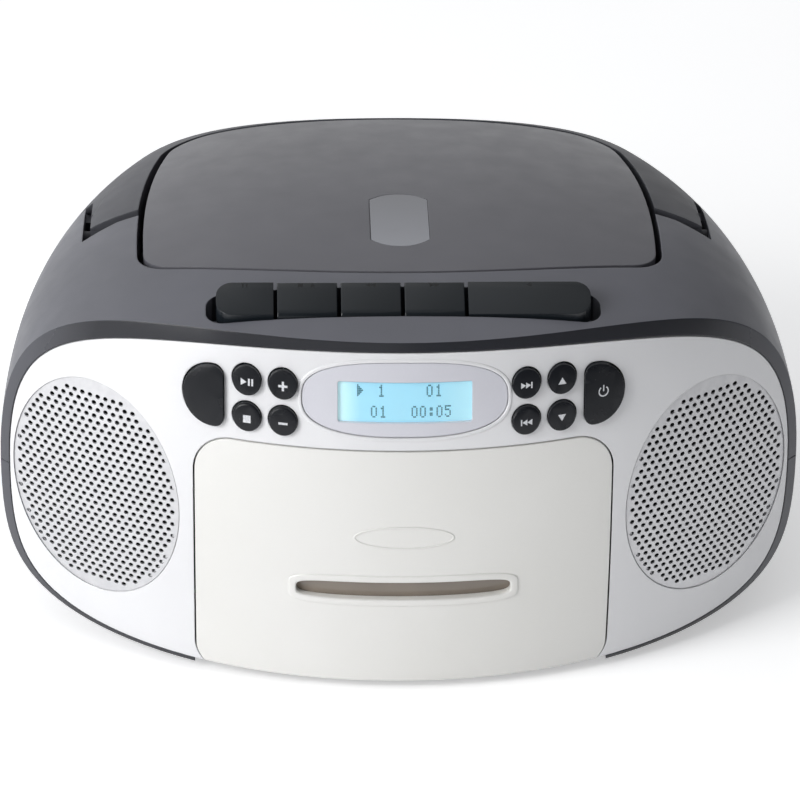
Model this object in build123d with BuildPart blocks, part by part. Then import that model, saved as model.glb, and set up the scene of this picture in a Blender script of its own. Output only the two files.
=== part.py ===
from build123d import *
from math import asin, degrees, sqrt
import os

os.makedirs("parts", exist_ok=True)

# Case. X runs to the right, Y to the back, Z up; the origin is on the table under the middle
case_width = 298.0
overall_depth = 230.0       # from the bulge of the front to the aerial at the back
crown_height = 149.0        # top of the domed lid above the table
case_base = 2.0             # underside of the case above the table
case_wall = 2.4
widest_height = 66.0        # widest section and parting line of the two shells
crown_y = -17.0             # where the dome is highest
crown_radius = 450.0        # the dome seen from the side
side_bow_y = -48.0          # the sides run straight forward of here
side_bow_radius = 350.0     # and draw in along this radius behind it
upper_power = 3.05          # how square the section is above the widest line
lower_power = 4.2           # and below it
rear_fillet = 14.0
parting_gap = 0.3
seam = 0.3                  # gap between neighbouring mouldings
slide_gap = 0.3             # gap beside a piece that moves
seat_play = 0.1             # between curved faces that rest on each other
pin_play = 0.08             # radial clearance of a pin in its bore

# Bulged front and its panel
front_plan_radius = 205.0
front_profile_radius = 245.0
front_bulge_height = 57.0
front_lean = 15.0           # how far the upper edge of the front lies behind the bulge
band_width = 3.4            # dark rim between the panel and the edge of the case
band_base = 1.5             # the same rim under the panel
panel_wall = 2.4
panel_ledge = 4.0           # width of the rim behind the panel
ledge_thickness = 2.4
panel_power = 3.3

# Front buttons and display
button_diameter = 10.3
button_rise = 1.8           # the buttons stand this far out of the panel
button_columns = (43.9, 56.9)
button_rows = (112.0, 125.3)
button_travel = 1.2
button_flange = 0.9         # the flange behind the panel is this much larger all round
flange_thickness = 1.5
stem_radius = 2.0
wide_button_inner_x = 65.3
wide_button_outer_x = 80.0
wide_button_z = 117.8
wide_button_radius = 10.7
wide_button_corner = 3.5    # rounding at both ends of the flat side
board_y = -83.0             # front face of the board behind the buttons
board_thickness = 1.6
board_half_width = 76.0
board_low = 107.0
board_high = 130.5
board_boss_radius = 2.2
lens_width = 74.6
lens_height = 27.0
lens_z = 121.0
lens_power = 2.7
lens_thickness = 1.6
lens_rim = 2.0              # step that the lens rests on
lcd_width = 56.0
lcd_height = 21.0
lcd_thickness = 4.5
lcd_setback = 4.9           # the module's face behind the face of the panel
lcd_post_x = 22.0
lcd_post_radius = 1.5

# Loudspeakers
speaker_x = 112.8
speaker_z = 69.0
grille_half_width = 30.9
grille_half_height = 42.6
grille_thickness = 0.8
grille_setback = 0.4
grille_rim = 1.6            # step that the grille rests on
grille_gap = 0.2
speaker_setback = 8.5       # the basket's rim behind the face of the panel
speaker_radius = 36.0
speaker_rim = 2.0
speaker_ring_radius = 37.0
speaker_ring_wall = 3.0
cone_radius = 30.0
cone_depth = 11.0
cone_thickness = 0.8
dust_cap_radius = 9.0
basket_depth = 20.0
basket_wall = 1.5
magnet_radius = 21.0
magnet_depth = 11.0

# Disc lid, its well and the disc drive
lid_front_y = -56.4
lid_front_corner_y = -40.0
lid_half_width = 94.5
lid_rear_half_width = 84.0
lid_rear_corner_y = 90.0
lid_rear_y = 97.0
lid_side_bulge = 0.4
lid_front_fillet = 14.0
lid_rear_fillet = 22.0
lid_side_gap = 2.3
lid_front_gap = 1.0
lid_skin = 2.6
lid_skirt = 9.0
lid_skirt_wall = 2.4
lid_skirt_rear_y = 84.0     # no skirt behind this, where the hinge needs the room
lid_hinge_y = 90.0
lid_hinge_z = 129.0
lid_pin_radius = 1.6
lid_lug_x = 30.0            # inner side of each hinge lug
lid_lug_width = 4.0
lid_lug_radius = 3.4
lid_post_width = 5.0
lid_post_radius = 3.0
latch_half_width = 5.0
latch_y = -52.0
latch_thickness = 1.6
latch_low = 116.0
window_width = 21.6
window_front_y = -38.5
window_rear_y = 3.6
window_arch = 5.0           # rise of the arched ends
window_thickness = 1.8
window_rim = 1.5
deck_top = 112.5
deck_thickness = 2.5
deck_ledge = 4.0
disc_center_y = 20.0
disc_radius = 60.0
disc_margin = 2.5           # room round the disc in its well
disc_recess = 4.0
disc_recess_floor = 2.2
turntable_radius = 15.0
turntable_thickness = 1.3
turntable_gap = 2.0
turntable_rise = 0.4        # the turntable's face above the floor of the well
hub_radius = 7.35
hub_height = 2.2
spindle_radius = 1.5
spindle_motor_radius = 12.0
spindle_motor_gap = 0.5     # under the end of the shaft
spindle_motor_top = 106.0
clamp_radius = 16.0
clamp_thickness = 3.0
clamp_gap = 1.5             # room for the disc between clamp and turntable
clamp_hub_room = 0.5        # recess under the clamp, round the hub
clamp_shaft_radius = 3.0
clamp_boss_radius = 8.0
clamp_collar_radius = 4.5
clamp_collar_thickness = 1.5
clamp_boss_floor = 4.0
chassis_low = 94.0          # underside of the disc drive's chassis
chassis_plate = 2.0
chassis_half = 35.0
chassis_front_y = -52.0
chassis_rear_y = 45.0
chassis_post_x = 31.0
chassis_post_radius = 3.0
rail_spacing = 40.0
rail_radius = 1.5
rail_z = 101.0
rail_front_y = -51.0
rail_rear_y = 8.0
rail_bracket = 3.0
sled_travel = 33.0
sled_length = 18.0
sled_y = -4.5               # middle of the sled at the inside of the disc
sled_half_width = 23.5
sled_low = 98.0
sled_high = 104.5
turret_half_width = 8.0
turret_length = 8.0
turret_top = 109.4

# Handle, folded back round the lid
handle_pivot_y = 20.0
handle_pivot_z = 122.0
handle_pin_radius = 2.5
handle_pin_length = 5.0
handle_arm_front_y = 11.0
handle_channel_front_y = 5.0
handle_arm_outer_x = 116.0
handle_slot = 2.8           # gap between the arm and the ear outside it
handle_boss_radius = 9.0
handle_ear_radius = 27.0
handle_ear_gap = 1.0
handle_sweep = 20.8         # the arm's end turns inside this radius
handle_base_z = 119.0       # underside of the handle at handle_base_y
handle_base_y = 35.0
handle_base_slope = 0.075   # the underside drops this much for each millimetre back
handle_gap = 0.6
handle_lid_gap = 0.5        # the handle's inner side outside the lid's opening
handle_cover = 9.0          # height of the handle's separate underside moulding
channel_floor = 2.2

# Tape keys
key_names = ("key_pause", "key_stop_eject", "key_fast_forward", "key_rewind", "key_play")
key_widths = (20.8, 21.8, 21.8, 21.8, 44.4)
key_gap = 1.3
key_front_y = -83.3
key_rear_y = -68.6
key_top = 149.4
key_bevel_drop = 0.9
key_bevel_run = 12.0
key_toe_z = 144.0
key_bottom = 139.0
key_end_radius = 6.0        # the outer ends of the row are rounded
key_stem_width = 6.0
key_stem_depth = 3.0
key_stem_y = -75.0
key_stem_bottom = 108.0
key_tray_end_radius = 7.0
key_tray_margin = 3.7
key_tray_front_gap = 1.3
key_tray_rear_gap = 2.2
key_tray_floor = 133.0
key_tray_wall = 1.8

# Cassette door, cassette holder and tape mechanism
door_half_width = 76.0
door_top = 102.2
door_corner = 13.5
door_gap = 0.6
door_wall = 2.6
door_hinge_y = -101.5
door_hinge_z = 12.0
door_pin_radius = 1.6
door_lug_x = 22.0
door_lug_width = 4.0
door_lug_radius = 2.8
door_pocket_depth = 11.0    # room in the lower case behind the hinge
door_arm_width = 4.0
door_arm_rear_y = -88.0
slot_width = 78.4
slot_height = 7.4
slot_z = 46.0
slot_surround = 3.4
slot_power = 5.0
window_plate = 1.2
cassette_width = 100.4
cassette_play = 0.6
holder_front_y = -100.5
holder_rear_y = -85.0
holder_wall = 1.5
holder_side = 3.2
holder_low = 16.0
holder_high = 96.0
holder_rib_x = 46.0
holder_rib = 2.0
holder_rib_low = 60.0
holder_rib_high = 90.0
reel_spacing = 42.5
reel_z = 49.4
reel_radius = 3.6
reel_front_y = -92.0
reel_table_radius = 9.0
reel_table_thickness = 1.8
reel_shaft_radius = 1.2
tape_plate_y = -82.0        # front face of the mechanism plate
tape_plate_thickness = 2.0
tape_plate_half = 60.0
tape_plate_low = 6.0
tape_plate_high = 100.0
tape_rib_x = 40.0
head_plate_thickness = 1.7
head_half_width = 30.0
head_low = 88.0
head_high = 104.0
head_block_half = 7.0
head_block_front_y = -96.0
head_block_low = 87.5
head_block_high = 96.0
pinch_radius = 6.0
pinch_z = 93.0
pinch_front_y = -93.7
pinch_rear_y = -86.0
pinch_pin_radius = 1.5
capstan_x = -22.0
capstan_z = 81.4
capstan_radius = 1.2
capstan_front_y = -94.0
flywheel_radius = 18.0
flywheel_front_y = -78.0
flywheel_rear_y = -70.0
tape_motor_x = 35.0
tape_motor_z = 80.0
tape_motor_radius = 13.5
tape_motor_length = 18.0
motor_flange_thickness = 1.5
motor_post_x = 46.0
motor_post_reach = 12.0
motor_post_radius = 2.0
motor_shaft_radius = 1.0
pulley_radius = 4.0
pulley_front_y = -77.0
pulley_rear_y = -71.0
belt_width = 2.0
belt_thickness = 1.0
belt_y = -74.5
motor_shaft_end_y = -60.0

# Back of the case: batteries, mains inlet, sockets and aerial
antenna_radius = 2.7
antenna_wall_gap = 0.6
antenna_z = 95.0
antenna_pivot_x = 80.0
antenna_elbow_x = 72.0
antenna_end_x = -80.0
antenna_wall = 0.67         # wall of each drawn tube
antenna_tip_length = 5.0
antenna_stub = 8.0          # solid root of the first section
elbow_pin_radius = 0.8
elbow_half_eye = 1.2
swivel_pin_radius = 2.5
swivel_disc_radius = 5.2
swivel_disc_thickness = 1.2
swivel_collar_radius = 4.0
swivel_collar_thickness = 2.0
cell_diameter = 26.2
cell_length = 50.0
cells_across = 2
cells_deep = 3
bay_play = 3.0
bay_wall = 1.8
bay_left_x = -72.0
bay_bottom_z = 26.0
battery_door_lap = 3.0
battery_door_thickness = 2.4
battery_door_pin_radius = 0.7
battery_door_pin_length = 2.0
contact_thickness = 0.5
contact_margin = 3.0
contact_spring_radius = 4.0
contact_spring_height = 1.4
inlet_x = 60.0
inlet_z = 36.0
inlet_width = 24.0
inlet_height = 16.0
inlet_depth = 14.0
inlet_mouth_width = 14.0
inlet_mouth_height = 8.5
inlet_mouth_depth = 9.0
inlet_pin_radius = 1.2
inlet_pin_setback = 5.0     # the pins end this far inside the mouth
inlet_pin_spacing = 6.6
sockets_z = 54.0
sockets_height = 14.0
sockets_width = 30.0
sockets_depth = 12.0
socket_mouth_depth = 9.0
usb_width = 12.6
usb_height = 5.2
usb_offset = 6.5
jack_radius = 1.85
jack_offset = -8.0

# Boards, transformer, feet and screws
floor_rib_low = 3.0         # supports start inside the floor of the case
board_clearance = 8.0       # the main board stands this far above the floor
main_board_left = -88.0
main_board_right = 42.0
main_board_front = -60.0
main_board_rear = 18.0
main_board_inset = 8.0
main_board_post_radius = 3.0
transformer_x = 66.0
transformer_y = 43.0
transformer_width = 40.0
transformer_depth = 34.0
transformer_height = 32.0
transformer_low = 8.0
transformer_coil_overhang = 6.0
transformer_rib = 4.0
foot_radius = 7.0
foot_x = 88.0
foot_front_y = -72.0
foot_rear_y = 84.0
foot_height = 7.0
screw_radius = 1.5
screw_head_radius = 3.0
screw_head_height = 2.0
screw_seat_z = 22.0
screw_reach = 16.0          # length of thread in the upper case
screw_play = 0.4
screw_x = 96.0
screw_front_y = -30.0
screw_rear_y = 60.0
lower_boss_radius = 5.5
lower_boss_low = 6.0
upper_pillar_radius = 4.5

# Places that follow from the sizes above
rear_y = overall_depth / 2 - 2 * antenna_radius - antenna_wall_gap
front_y = -overall_depth / 2
front_axis_y = front_y + front_plan_radius
front_near_y = front_y - 10
far = case_width            # longer than any cut needs
opening_high = crown_height + 10


def half_width_at(y):
    """Half width of the case at depth y."""
    back = max(0.0, y - side_bow_y)
    return case_width / 2 - (side_bow_radius - sqrt(side_bow_radius**2 - back**2))


def crown_at(y):
    """Height of the top of the dome at depth y."""
    return crown_height - (crown_radius - sqrt(crown_radius**2 - (y - crown_y) ** 2))


def face_at(x, z):
    """Depth of the bulged front at height z and x to the side."""
    drop = front_profile_radius - sqrt(front_profile_radius**2 - (z - front_bulge_height) ** 2)
    ring = front_plan_radius - drop
    return front_axis_y - sqrt(ring**2 - x**2)


def rounded_sketch(depth, half_width, up, down, upper, lower, center=(0.0, 0.0)):
    """A closed outline between an ellipse and a rectangle, standing at depth y.

    Each quarter is one cubic curve whose middle lies on the superellipse of the given power.
    """
    with BuildSketch(Plane.XZ.offset(-depth)) as outline:
        with BuildLine():
            for across, upward in ((1, 1), (-1, 1), (-1, -1), (1, -1)):
                power = upper if upward > 0 else lower
                reach = upward * (up if upward > 0 else down)
                width = across * half_width
                pull = (8 * 2 ** (-1 / power) - 4) / 3
                corners = [(width, 0), (width, pull * reach), (pull * width, reach), (0, reach)]
                Bezier(*[(center[0] + x, center[1] + z) for x, z in corners])
        make_face()
    return outline.sketch


def rounded_prism(near_y, far_y, *outline):
    """A prism along Y with a rounded outline."""
    with BuildPart() as prism:
        add(rounded_sketch(near_y, *outline))
        extrude(amount=far_y - near_y, dir=(0, 1, 0))
    return prism.part


def case_loft(inset):
    """The dome and sides of the case, drawn in by inset all round."""
    with BuildPart() as form:
        for y in (front_y - 10, side_bow_y, 0.0, 50.0, 85.0, rear_y - inset):
            add(
                rounded_sketch(
                    y,
                    half_width_at(y) - inset,
                    crown_at(y) - inset - widest_height,
                    widest_height - case_base - inset,
                    upper_power,
                    lower_power,
                    (0.0, widest_height),
                )
            )
        loft()
        fillet(form.edges().group_by(Axis.Y)[-1], max(rear_fillet - inset, rear_fillet / 4))
    return form.part


def front_barrel(inset):
    """The solid behind the bulged front, with its face inset behind the outside."""
    low = -20.0
    high = crown_height + 20
    face_low = face_at(0, low) + inset
    face_mid = front_y + inset
    face_high = face_at(0, high) + inset
    with BuildPart() as barrel:
        with BuildSketch(Plane.YZ):
            with BuildLine():
                ThreePointArc((face_low, low), (face_mid, front_bulge_height), (face_high, high))
                Polyline((face_high, high), (front_axis_y, high), (front_axis_y, low), (face_low, low))
            make_face()
        revolve(axis=Axis((0, front_axis_y, 0), (0, 0, 1)), revolution_arc=360)
    return barrel.part


def front_layer(near, away):
    """The curved layer between two insets behind the bulged front."""
    with BuildPart() as layer:
        add(front_barrel(near))
        add(front_barrel(away), mode=Mode.SUBTRACT)
    return layer.part


def lid_outline(side, front, rear):
    """Sketch of the lid's outline from above, grown by the three gaps."""
    half = lid_half_width + side
    rear_half = lid_rear_half_width + side
    corner_y = lid_front_corner_y - front
    rear_corner_y = lid_rear_corner_y + rear
    bulge = half + lid_side_bulge
    bulge_y = (corner_y + rear_corner_y) / 2 - lid_front_fillet
    with BuildSketch() as outline:
        with BuildLine():
            ThreePointArc((-half, corner_y), (0, lid_front_y - front), (half, corner_y))
            ThreePointArc((half, corner_y), (bulge, bulge_y), (rear_half, rear_corner_y))
            ThreePointArc((rear_half, rear_corner_y), (0, lid_rear_y + rear), (-rear_half, rear_corner_y))
            ThreePointArc((-rear_half, rear_corner_y), (-bulge, bulge_y), (-half, corner_y))
        make_face()
        fillet(outline.vertices().group_by(Axis.Y)[0], lid_front_fillet + front)
        fillet(outline.vertices().group_by(Axis.Y)[-1], lid_rear_fillet + rear)
    return outline.sketch


def lid_prism(low, high, side, front, rear):
    """A vertical prism of the lid's outline, grown by the three gaps."""
    with BuildPart() as prism:
        with BuildSketch(Plane.XY.offset(low)):
            add(lid_outline(side, front, rear))
        extrude(amount=high - low)
    return prism.part


def lid_hole(low, high, grow=0.0):
    """A vertical prism of the hole that the lid lies in, grown by grow."""
    return lid_prism(low, high, lid_side_gap + grow, lid_front_gap + grow, lid_side_gap + grow)


def block(low_x, high_x, low_y, high_y, low_z, high_z):
    """A box between six planes."""
    with BuildPart() as piece:
        with BuildSketch(Plane.XY.offset(low_z)):
            with Locations(((low_x + high_x) / 2, (low_y + high_y) / 2)):
                Rectangle(high_x - low_x, high_y - low_y)
        extrude(amount=high_z - low_z)
    return piece.part


def rod_x(low_x, high_x, y, z, radius):
    """A rod along X."""
    with BuildPart() as piece:
        with BuildSketch(Plane.YZ.offset(low_x)):
            with Locations((y, z)):
                Circle(radius)
        extrude(amount=high_x - low_x)
    return piece.part


def rod_y(x, z, low_y, high_y, radius):
    """A rod along Y."""
    with BuildPart() as piece:
        with BuildSketch(Plane.XZ.offset(-low_y)):
            with Locations((x, z)):
                Circle(radius)
        extrude(amount=low_y - high_y)
    return piece.part


def rod_z(x, y, low_z, high_z, radius):
    """A rod along Z."""
    with BuildPart() as piece:
        with BuildSketch(Plane.XY.offset(low_z)):
            with Locations((x, y)):
                Circle(radius)
        extrude(amount=high_z - low_z)
    return piece.part


def both_sides(piece):
    """A piece and its mirror image across the middle of the case."""
    return [piece, piece.mirror(Plane.YZ)]


def save(piece, name):
    """Label a finished piece and write its STEP file."""
    piece.part.label = name
    export_step(piece.part, f"parts/{name}.step")


# Shapes that several mouldings share
with BuildPart() as outer_form:
    add(case_loft(0))
    add(front_barrel(0), mode=Mode.INTERSECT)

with BuildPart() as case_cavity:
    add(case_loft(case_wall))
    add(front_barrel(panel_wall + ledge_thickness), mode=Mode.INTERSECT)

panel_half_width = case_width / 2 - band_width
panel_top = crown_at(front_y + front_lean) - band_width
panel_rear_y = face_at(panel_half_width, widest_height) + panel_wall + ledge_thickness


def panel_prism(inset):
    """Prism of the front panel's outline, drawn in by inset."""
    return rounded_prism(
        front_near_y,
        panel_rear_y,
        panel_half_width - inset,
        panel_top - inset - widest_height,
        widest_height - case_base - band_base - inset,
        panel_power,
        lower_power,
        (0.0, widest_height),
    )


underside_normal = Vector(0, handle_base_slope, 1).normalized()


def above_handle_plane(lift):
    """Everything above the plane of the handle's underside, raised by lift."""
    plane = Plane(
        origin=(0, handle_base_y, handle_base_z + lift), x_dir=(1, 0, 0), z_dir=tuple(underside_normal)
    )
    with BuildPart() as half_space:
        with BuildSketch(plane):
            Rectangle(2 * far, 2 * far)
        extrude(amount=far)
    return half_space.part


ear_inner_x = handle_arm_outer_x + handle_slot
pocket_inner_x = lid_half_width + lid_side_gap - 1

# The room that the handle lies in: behind its front edge and not in the ears
with BuildPart() as handle_room:
    add(above_handle_plane(-handle_gap))
    add(block(-far, far, handle_channel_front_y, far, 0, far), mode=Mode.INTERSECT)
    ear_blocks = both_sides(block(ear_inner_x, far, -far, handle_pivot_y, 0, far))
    ear_rounds = both_sides(rod_x(ear_inner_x, far, handle_pivot_y, handle_pivot_z, handle_ear_radius))
    add(ear_blocks + ear_rounds, mode=Mode.SUBTRACT)

pockets = both_sides(rod_x(pocket_inner_x, ear_inner_x, handle_pivot_y, handle_pivot_z, handle_sweep))
pocket_lining = rod_x(
    pocket_inner_x - channel_floor,
    ear_inner_x + channel_floor,
    handle_pivot_y,
    handle_pivot_z,
    handle_sweep + channel_floor,
)
deck_low = deck_top - deck_thickness
lid_opening = lid_hole(deck_low, opening_high)
ledge_opening = lid_hole(0, deck_low, -deck_ledge)
well_room = [handle_room.part, lid_opening, ledge_opening] + pockets

key_row_width = sum(key_widths) + key_gap * (len(key_widths) - 1)
tray_half_width = key_row_width / 2 + key_tray_margin
tray_front_y = key_front_y - key_tray_front_gap
tray_rear_y = key_rear_y + key_tray_rear_gap
tray_low = key_tray_floor - key_tray_wall


def key_tray_prism(low, high, grow):
    """The rounded recess that the five keys stand in."""
    with BuildPart() as prism:
        with BuildSketch(Plane.XY.offset(low)):
            with Locations((0, (tray_front_y + tray_rear_y) / 2)):
                RectangleRounded(
                    2 * (tray_half_width + grow),
                    tray_rear_y - tray_front_y + 2 * grow,
                    key_tray_end_radius + grow,
                )
        extrude(amount=high - low)
    return prism.part


key_left_edges = []
next_edge = -key_row_width / 2
for key_width in key_widths:
    key_left_edges.append(next_edge)
    next_edge += key_width + key_gap

door_pocket = block(
    -door_half_width - door_gap,
    door_half_width + door_gap,
    -far,
    door_hinge_y + door_pocket_depth,
    -1,
    door_hinge_z + door_lug_radius + seam,
)
with BuildPart() as panel_seat:
    add(panel_prism(0))
    add(front_barrel(panel_wall), mode=Mode.SUBTRACT)

with BuildPart() as shell:
    add(outer_form.part)
    add(
        [case_cavity.part, panel_seat.part, panel_prism(panel_ledge), door_pocket],
        mode=Mode.SUBTRACT,
        clean=False,
    )

# Upper shell: the skin, then the linings of its channel, pockets, well and key recess
upper_shell_low = widest_height + parting_gap / 2
lower_shell_high = widest_height - parting_gap / 2
screw_places = [(x, y) for x in (-screw_x, screw_x) for y in (screw_front_y, screw_rear_y)]

lining_form = case_loft(case_wall / 2)
with BuildPart() as channel_walls:
    add(lining_form)
    add(above_handle_plane(-handle_gap - channel_floor), mode=Mode.INTERSECT, clean=False)
    channel_start = handle_channel_front_y - channel_floor
    add(block(-far, far, channel_start, far, 0, far), mode=Mode.INTERSECT, clean=False)
    add(well_room, mode=Mode.SUBTRACT, clean=False)

with BuildPart() as pocket_walls:
    add(both_sides(pocket_lining))
    add(lining_form, mode=Mode.INTERSECT, clean=False)
    add(well_room, mode=Mode.SUBTRACT, clean=False)

well_wall_low = deck_low - channel_floor
with BuildPart() as well_ring:
    add(lid_hole(well_wall_low, opening_high, case_wall))
    add(lining_form, mode=Mode.INTERSECT, clean=False)
    add(well_room, mode=Mode.SUBTRACT, clean=False)

with BuildPart() as key_tray:
    add(key_tray_prism(tray_low, opening_high, key_tray_wall))
    add(lining_form, mode=Mode.INTERSECT, clean=False)
    add(key_tray_prism(key_tray_floor, opening_high, 0), mode=Mode.SUBTRACT, clean=False)
    for key_left, key_width in zip(key_left_edges, key_widths):
        stem_x = key_left + key_width / 2
        add(
            block(
                stem_x - key_stem_width / 2 - slide_gap,
                stem_x + key_stem_width / 2 + slide_gap,
                key_stem_y - key_stem_depth / 2 - slide_gap,
                key_stem_y + key_stem_depth / 2 + slide_gap,
                tray_low - 1,
                key_tray_floor + 1,
            ),
            mode=Mode.SUBTRACT,
        )

upper_pillars = []
thread_bores = []
for x, y in screw_places:
    upper_pillars.append(rod_z(x, y, upper_shell_low, well_wall_low + channel_floor / 2, upper_pillar_radius))
    thread_bores.append(rod_z(x, y, upper_shell_low, upper_shell_low + screw_reach, screw_radius))

handle_bores = both_sides(
    rod_x(
        ear_inner_x - 1,
        handle_arm_outer_x + handle_pin_length + seam,
        handle_pivot_y,
        handle_pivot_z,
        handle_pin_radius + pin_play,
    )
)
antenna_y = rear_y + antenna_wall_gap + antenna_radius
swivel_bore = rod_y(
    antenna_pivot_x, antenna_z, rear_y - 2 * case_wall, rear_y + 1, swivel_pin_radius + pin_play
)
with BuildPart() as top_case:
    add(shell.part)
    add(block(-far, far, -far, far, upper_shell_low, far), mode=Mode.INTERSECT, clean=False)
    key_room = key_tray_prism(key_tray_floor, opening_high, 0)
    add(well_room + [key_room, swivel_bore], mode=Mode.SUBTRACT, clean=False)
    linings = [channel_walls.part, pocket_walls.part, well_ring.part, key_tray.part]
    add(linings + upper_pillars, clean=False)
    add(handle_bores + thread_bores, mode=Mode.SUBTRACT, clean=False)
save(top_case, "top_case")

# Lower shell: floor, battery bay, hinge arms of the cassette door, posts and ribs
bay_right_x = bay_left_x + cells_across * cell_length + bay_play
bay_top_z = bay_bottom_z + cell_diameter + bay_play
bay_rear_y = rear_y - battery_door_thickness - seam
bay_front_y = bay_rear_y - cells_deep * cell_diameter - bay_play
bay_room = block(bay_left_x, bay_right_x, bay_front_y, rear_y + 1, bay_bottom_z, bay_top_z)
bay_box = block(
    bay_left_x - bay_wall,
    bay_right_x + bay_wall,
    bay_front_y - bay_wall,
    bay_rear_y,
    bay_bottom_z - bay_wall,
    bay_top_z + bay_wall,
)
door_margin = battery_door_lap + seam
door_recess = block(
    bay_left_x - door_margin,
    bay_right_x + door_margin,
    bay_rear_y,
    rear_y + 1,
    bay_bottom_z - door_margin,
    bay_top_z + door_margin,
)
bay_flange = block(
    bay_left_x - door_margin - bay_wall,
    bay_right_x + door_margin + bay_wall,
    bay_rear_y - bay_wall,
    rear_y - case_wall / 2,
    bay_bottom_z - door_margin - bay_wall,
    bay_top_z + door_margin + bay_wall,
)
battery_axis_y = rear_y - battery_door_thickness / 2
battery_axis_z = bay_bottom_z - battery_door_lap + battery_door_thickness / 2
battery_pin_reach = battery_door_lap + battery_door_pin_length
battery_bore = rod_x(
    bay_left_x - battery_pin_reach - seam,
    bay_right_x + battery_pin_reach + seam,
    battery_axis_y,
    battery_axis_z,
    battery_door_pin_radius + pin_play,
)
inlet_hole = block(
    inlet_x - inlet_width / 2 - seam,
    inlet_x + inlet_width / 2 + seam,
    rear_y - 2 * case_wall,
    rear_y + 1,
    inlet_z - inlet_height / 2 - seam,
    inlet_z + inlet_height / 2 + seam,
)
sockets_hole = block(
    inlet_x - sockets_width / 2 - seam,
    inlet_x + sockets_width / 2 + seam,
    rear_y - 2 * case_wall,
    rear_y + 1,
    sockets_z - sockets_height / 2 - seam,
    sockets_z + sockets_height / 2 + seam,
)

door_arm_x = door_lug_x + door_lug_width + slide_gap
door_arm_low = door_hinge_z - door_lug_radius
door_arm_high = door_hinge_z + door_lug_radius
with BuildPart() as door_arm:
    add(rod_x(door_arm_x, door_arm_x + door_arm_width, door_hinge_y, door_hinge_z, door_lug_radius))
    add(
        block(
            door_arm_x,
            door_arm_x + door_arm_width,
            door_hinge_y,
            door_arm_rear_y,
            door_arm_low,
            door_arm_high,
        )
    )
    add(
        block(
            door_arm_x,
            door_arm_x + door_arm_width,
            door_arm_rear_y - door_arm_width,
            door_arm_rear_y,
            floor_rib_low,
            door_arm_high,
        )
    )
    door_bore = rod_x(
        door_arm_x - 1,
        door_arm_x + door_arm_width + 1,
        door_hinge_y,
        door_hinge_z,
        door_pin_radius + pin_play,
    )
    add(door_bore, mode=Mode.SUBTRACT)

board_bottom = case_base + case_wall + board_clearance
board_posts = []
for x in (main_board_left + main_board_inset, main_board_right - main_board_inset):
    for y in (main_board_front + main_board_inset, main_board_rear - main_board_inset):
        board_posts.append(rod_z(x, y, floor_rib_low + 1, board_bottom, main_board_post_radius))

floor_ribs = []
for offset_x in (-transformer_width / 2, transformer_width / 2 - transformer_rib):
    floor_ribs.append(
        block(
            transformer_x + offset_x,
            transformer_x + offset_x + transformer_rib,
            transformer_y - transformer_depth / 2,
            transformer_y + transformer_depth / 2,
            floor_rib_low + 1,
            transformer_low,
        )
    )
tape_ribs = both_sides(
    block(
        tape_rib_x,
        tape_rib_x + transformer_rib,
        tape_plate_y - tape_plate_thickness,
        tape_plate_y + 2 * tape_plate_thickness,
        floor_rib_low,
        tape_plate_low,
    )
)
lower_bosses = []
screw_holes = []
for x, y in screw_places:
    lower_bosses.append(rod_z(x, y, lower_boss_low, lower_shell_high, lower_boss_radius))
    screw_holes.append(rod_z(x, y, -1, screw_seat_z, screw_head_radius + screw_play))
    screw_holes.append(rod_z(x, y, screw_seat_z, lower_shell_high + 1, screw_radius + screw_play / 2))

with BuildPart() as bottom_case:
    add(shell.part)
    add(block(-far, far, -far, far, -far, lower_shell_high), mode=Mode.INTERSECT, clean=False)
    supports = both_sides(door_arm.part) + board_posts + floor_ribs + tape_ribs + lower_bosses
    add([bay_box, bay_flange] + supports, clean=False)
    openings = [bay_room, door_recess, battery_bore, inlet_hole, sockets_hole]
    add(openings + screw_holes, mode=Mode.SUBTRACT, clean=False)
save(bottom_case, "bottom_case")

with BuildPart() as case_screws:
    for x, y in screw_places:
        add(rod_z(x, y, screw_seat_z, upper_shell_low + screw_reach - 1, screw_radius))
        add(rod_z(x, y, screw_seat_z - screw_head_height, screw_seat_z, screw_head_radius))
save(case_screws, "case_screws")

with BuildPart() as feet:
    for x in (-foot_x, foot_x):
        for y in (foot_front_y, foot_rear_y):
            add(rod_z(x, y, 0, foot_height, foot_radius))
    add(outer_form.part, mode=Mode.SUBTRACT, clean=False)
save(feet, "feet")


def door_prism(grow):
    """Prism of the cassette door's outline, grown by grow, open at the bottom."""
    with BuildPart() as prism:
        with BuildSketch(Plane.XZ.offset(-front_near_y)) as outline:
            with Locations((0, (door_top + grow) / 2)):
                Rectangle(2 * (door_half_width + grow), door_top + grow)
            fillet(outline.vertices().group_by(Axis.Z)[-1], door_corner + grow)
        extrude(amount=-far / 2)
    return prism.part


def grille_prism(grow):
    """Prism of the right-hand grille's oval, grown by grow."""
    half_width = grille_half_width + grow
    half_height = grille_half_height + grow
    with BuildPart() as prism:
        with BuildSketch(Plane.XZ.offset(-front_near_y)):
            with Locations((speaker_x, speaker_z)):
                Ellipse(half_width, half_height)
        extrude(amount=-far / 2)
    return prism.part


def lens_prism(grow):
    """Prism of the display lens's outline, grown by grow."""
    half_width = lens_width / 2 + grow
    half_height = lens_height / 2 + grow
    return rounded_prism(
        front_near_y, 0, half_width, half_height, half_height, lens_power, lens_power, (0.0, lens_z)
    )


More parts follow.
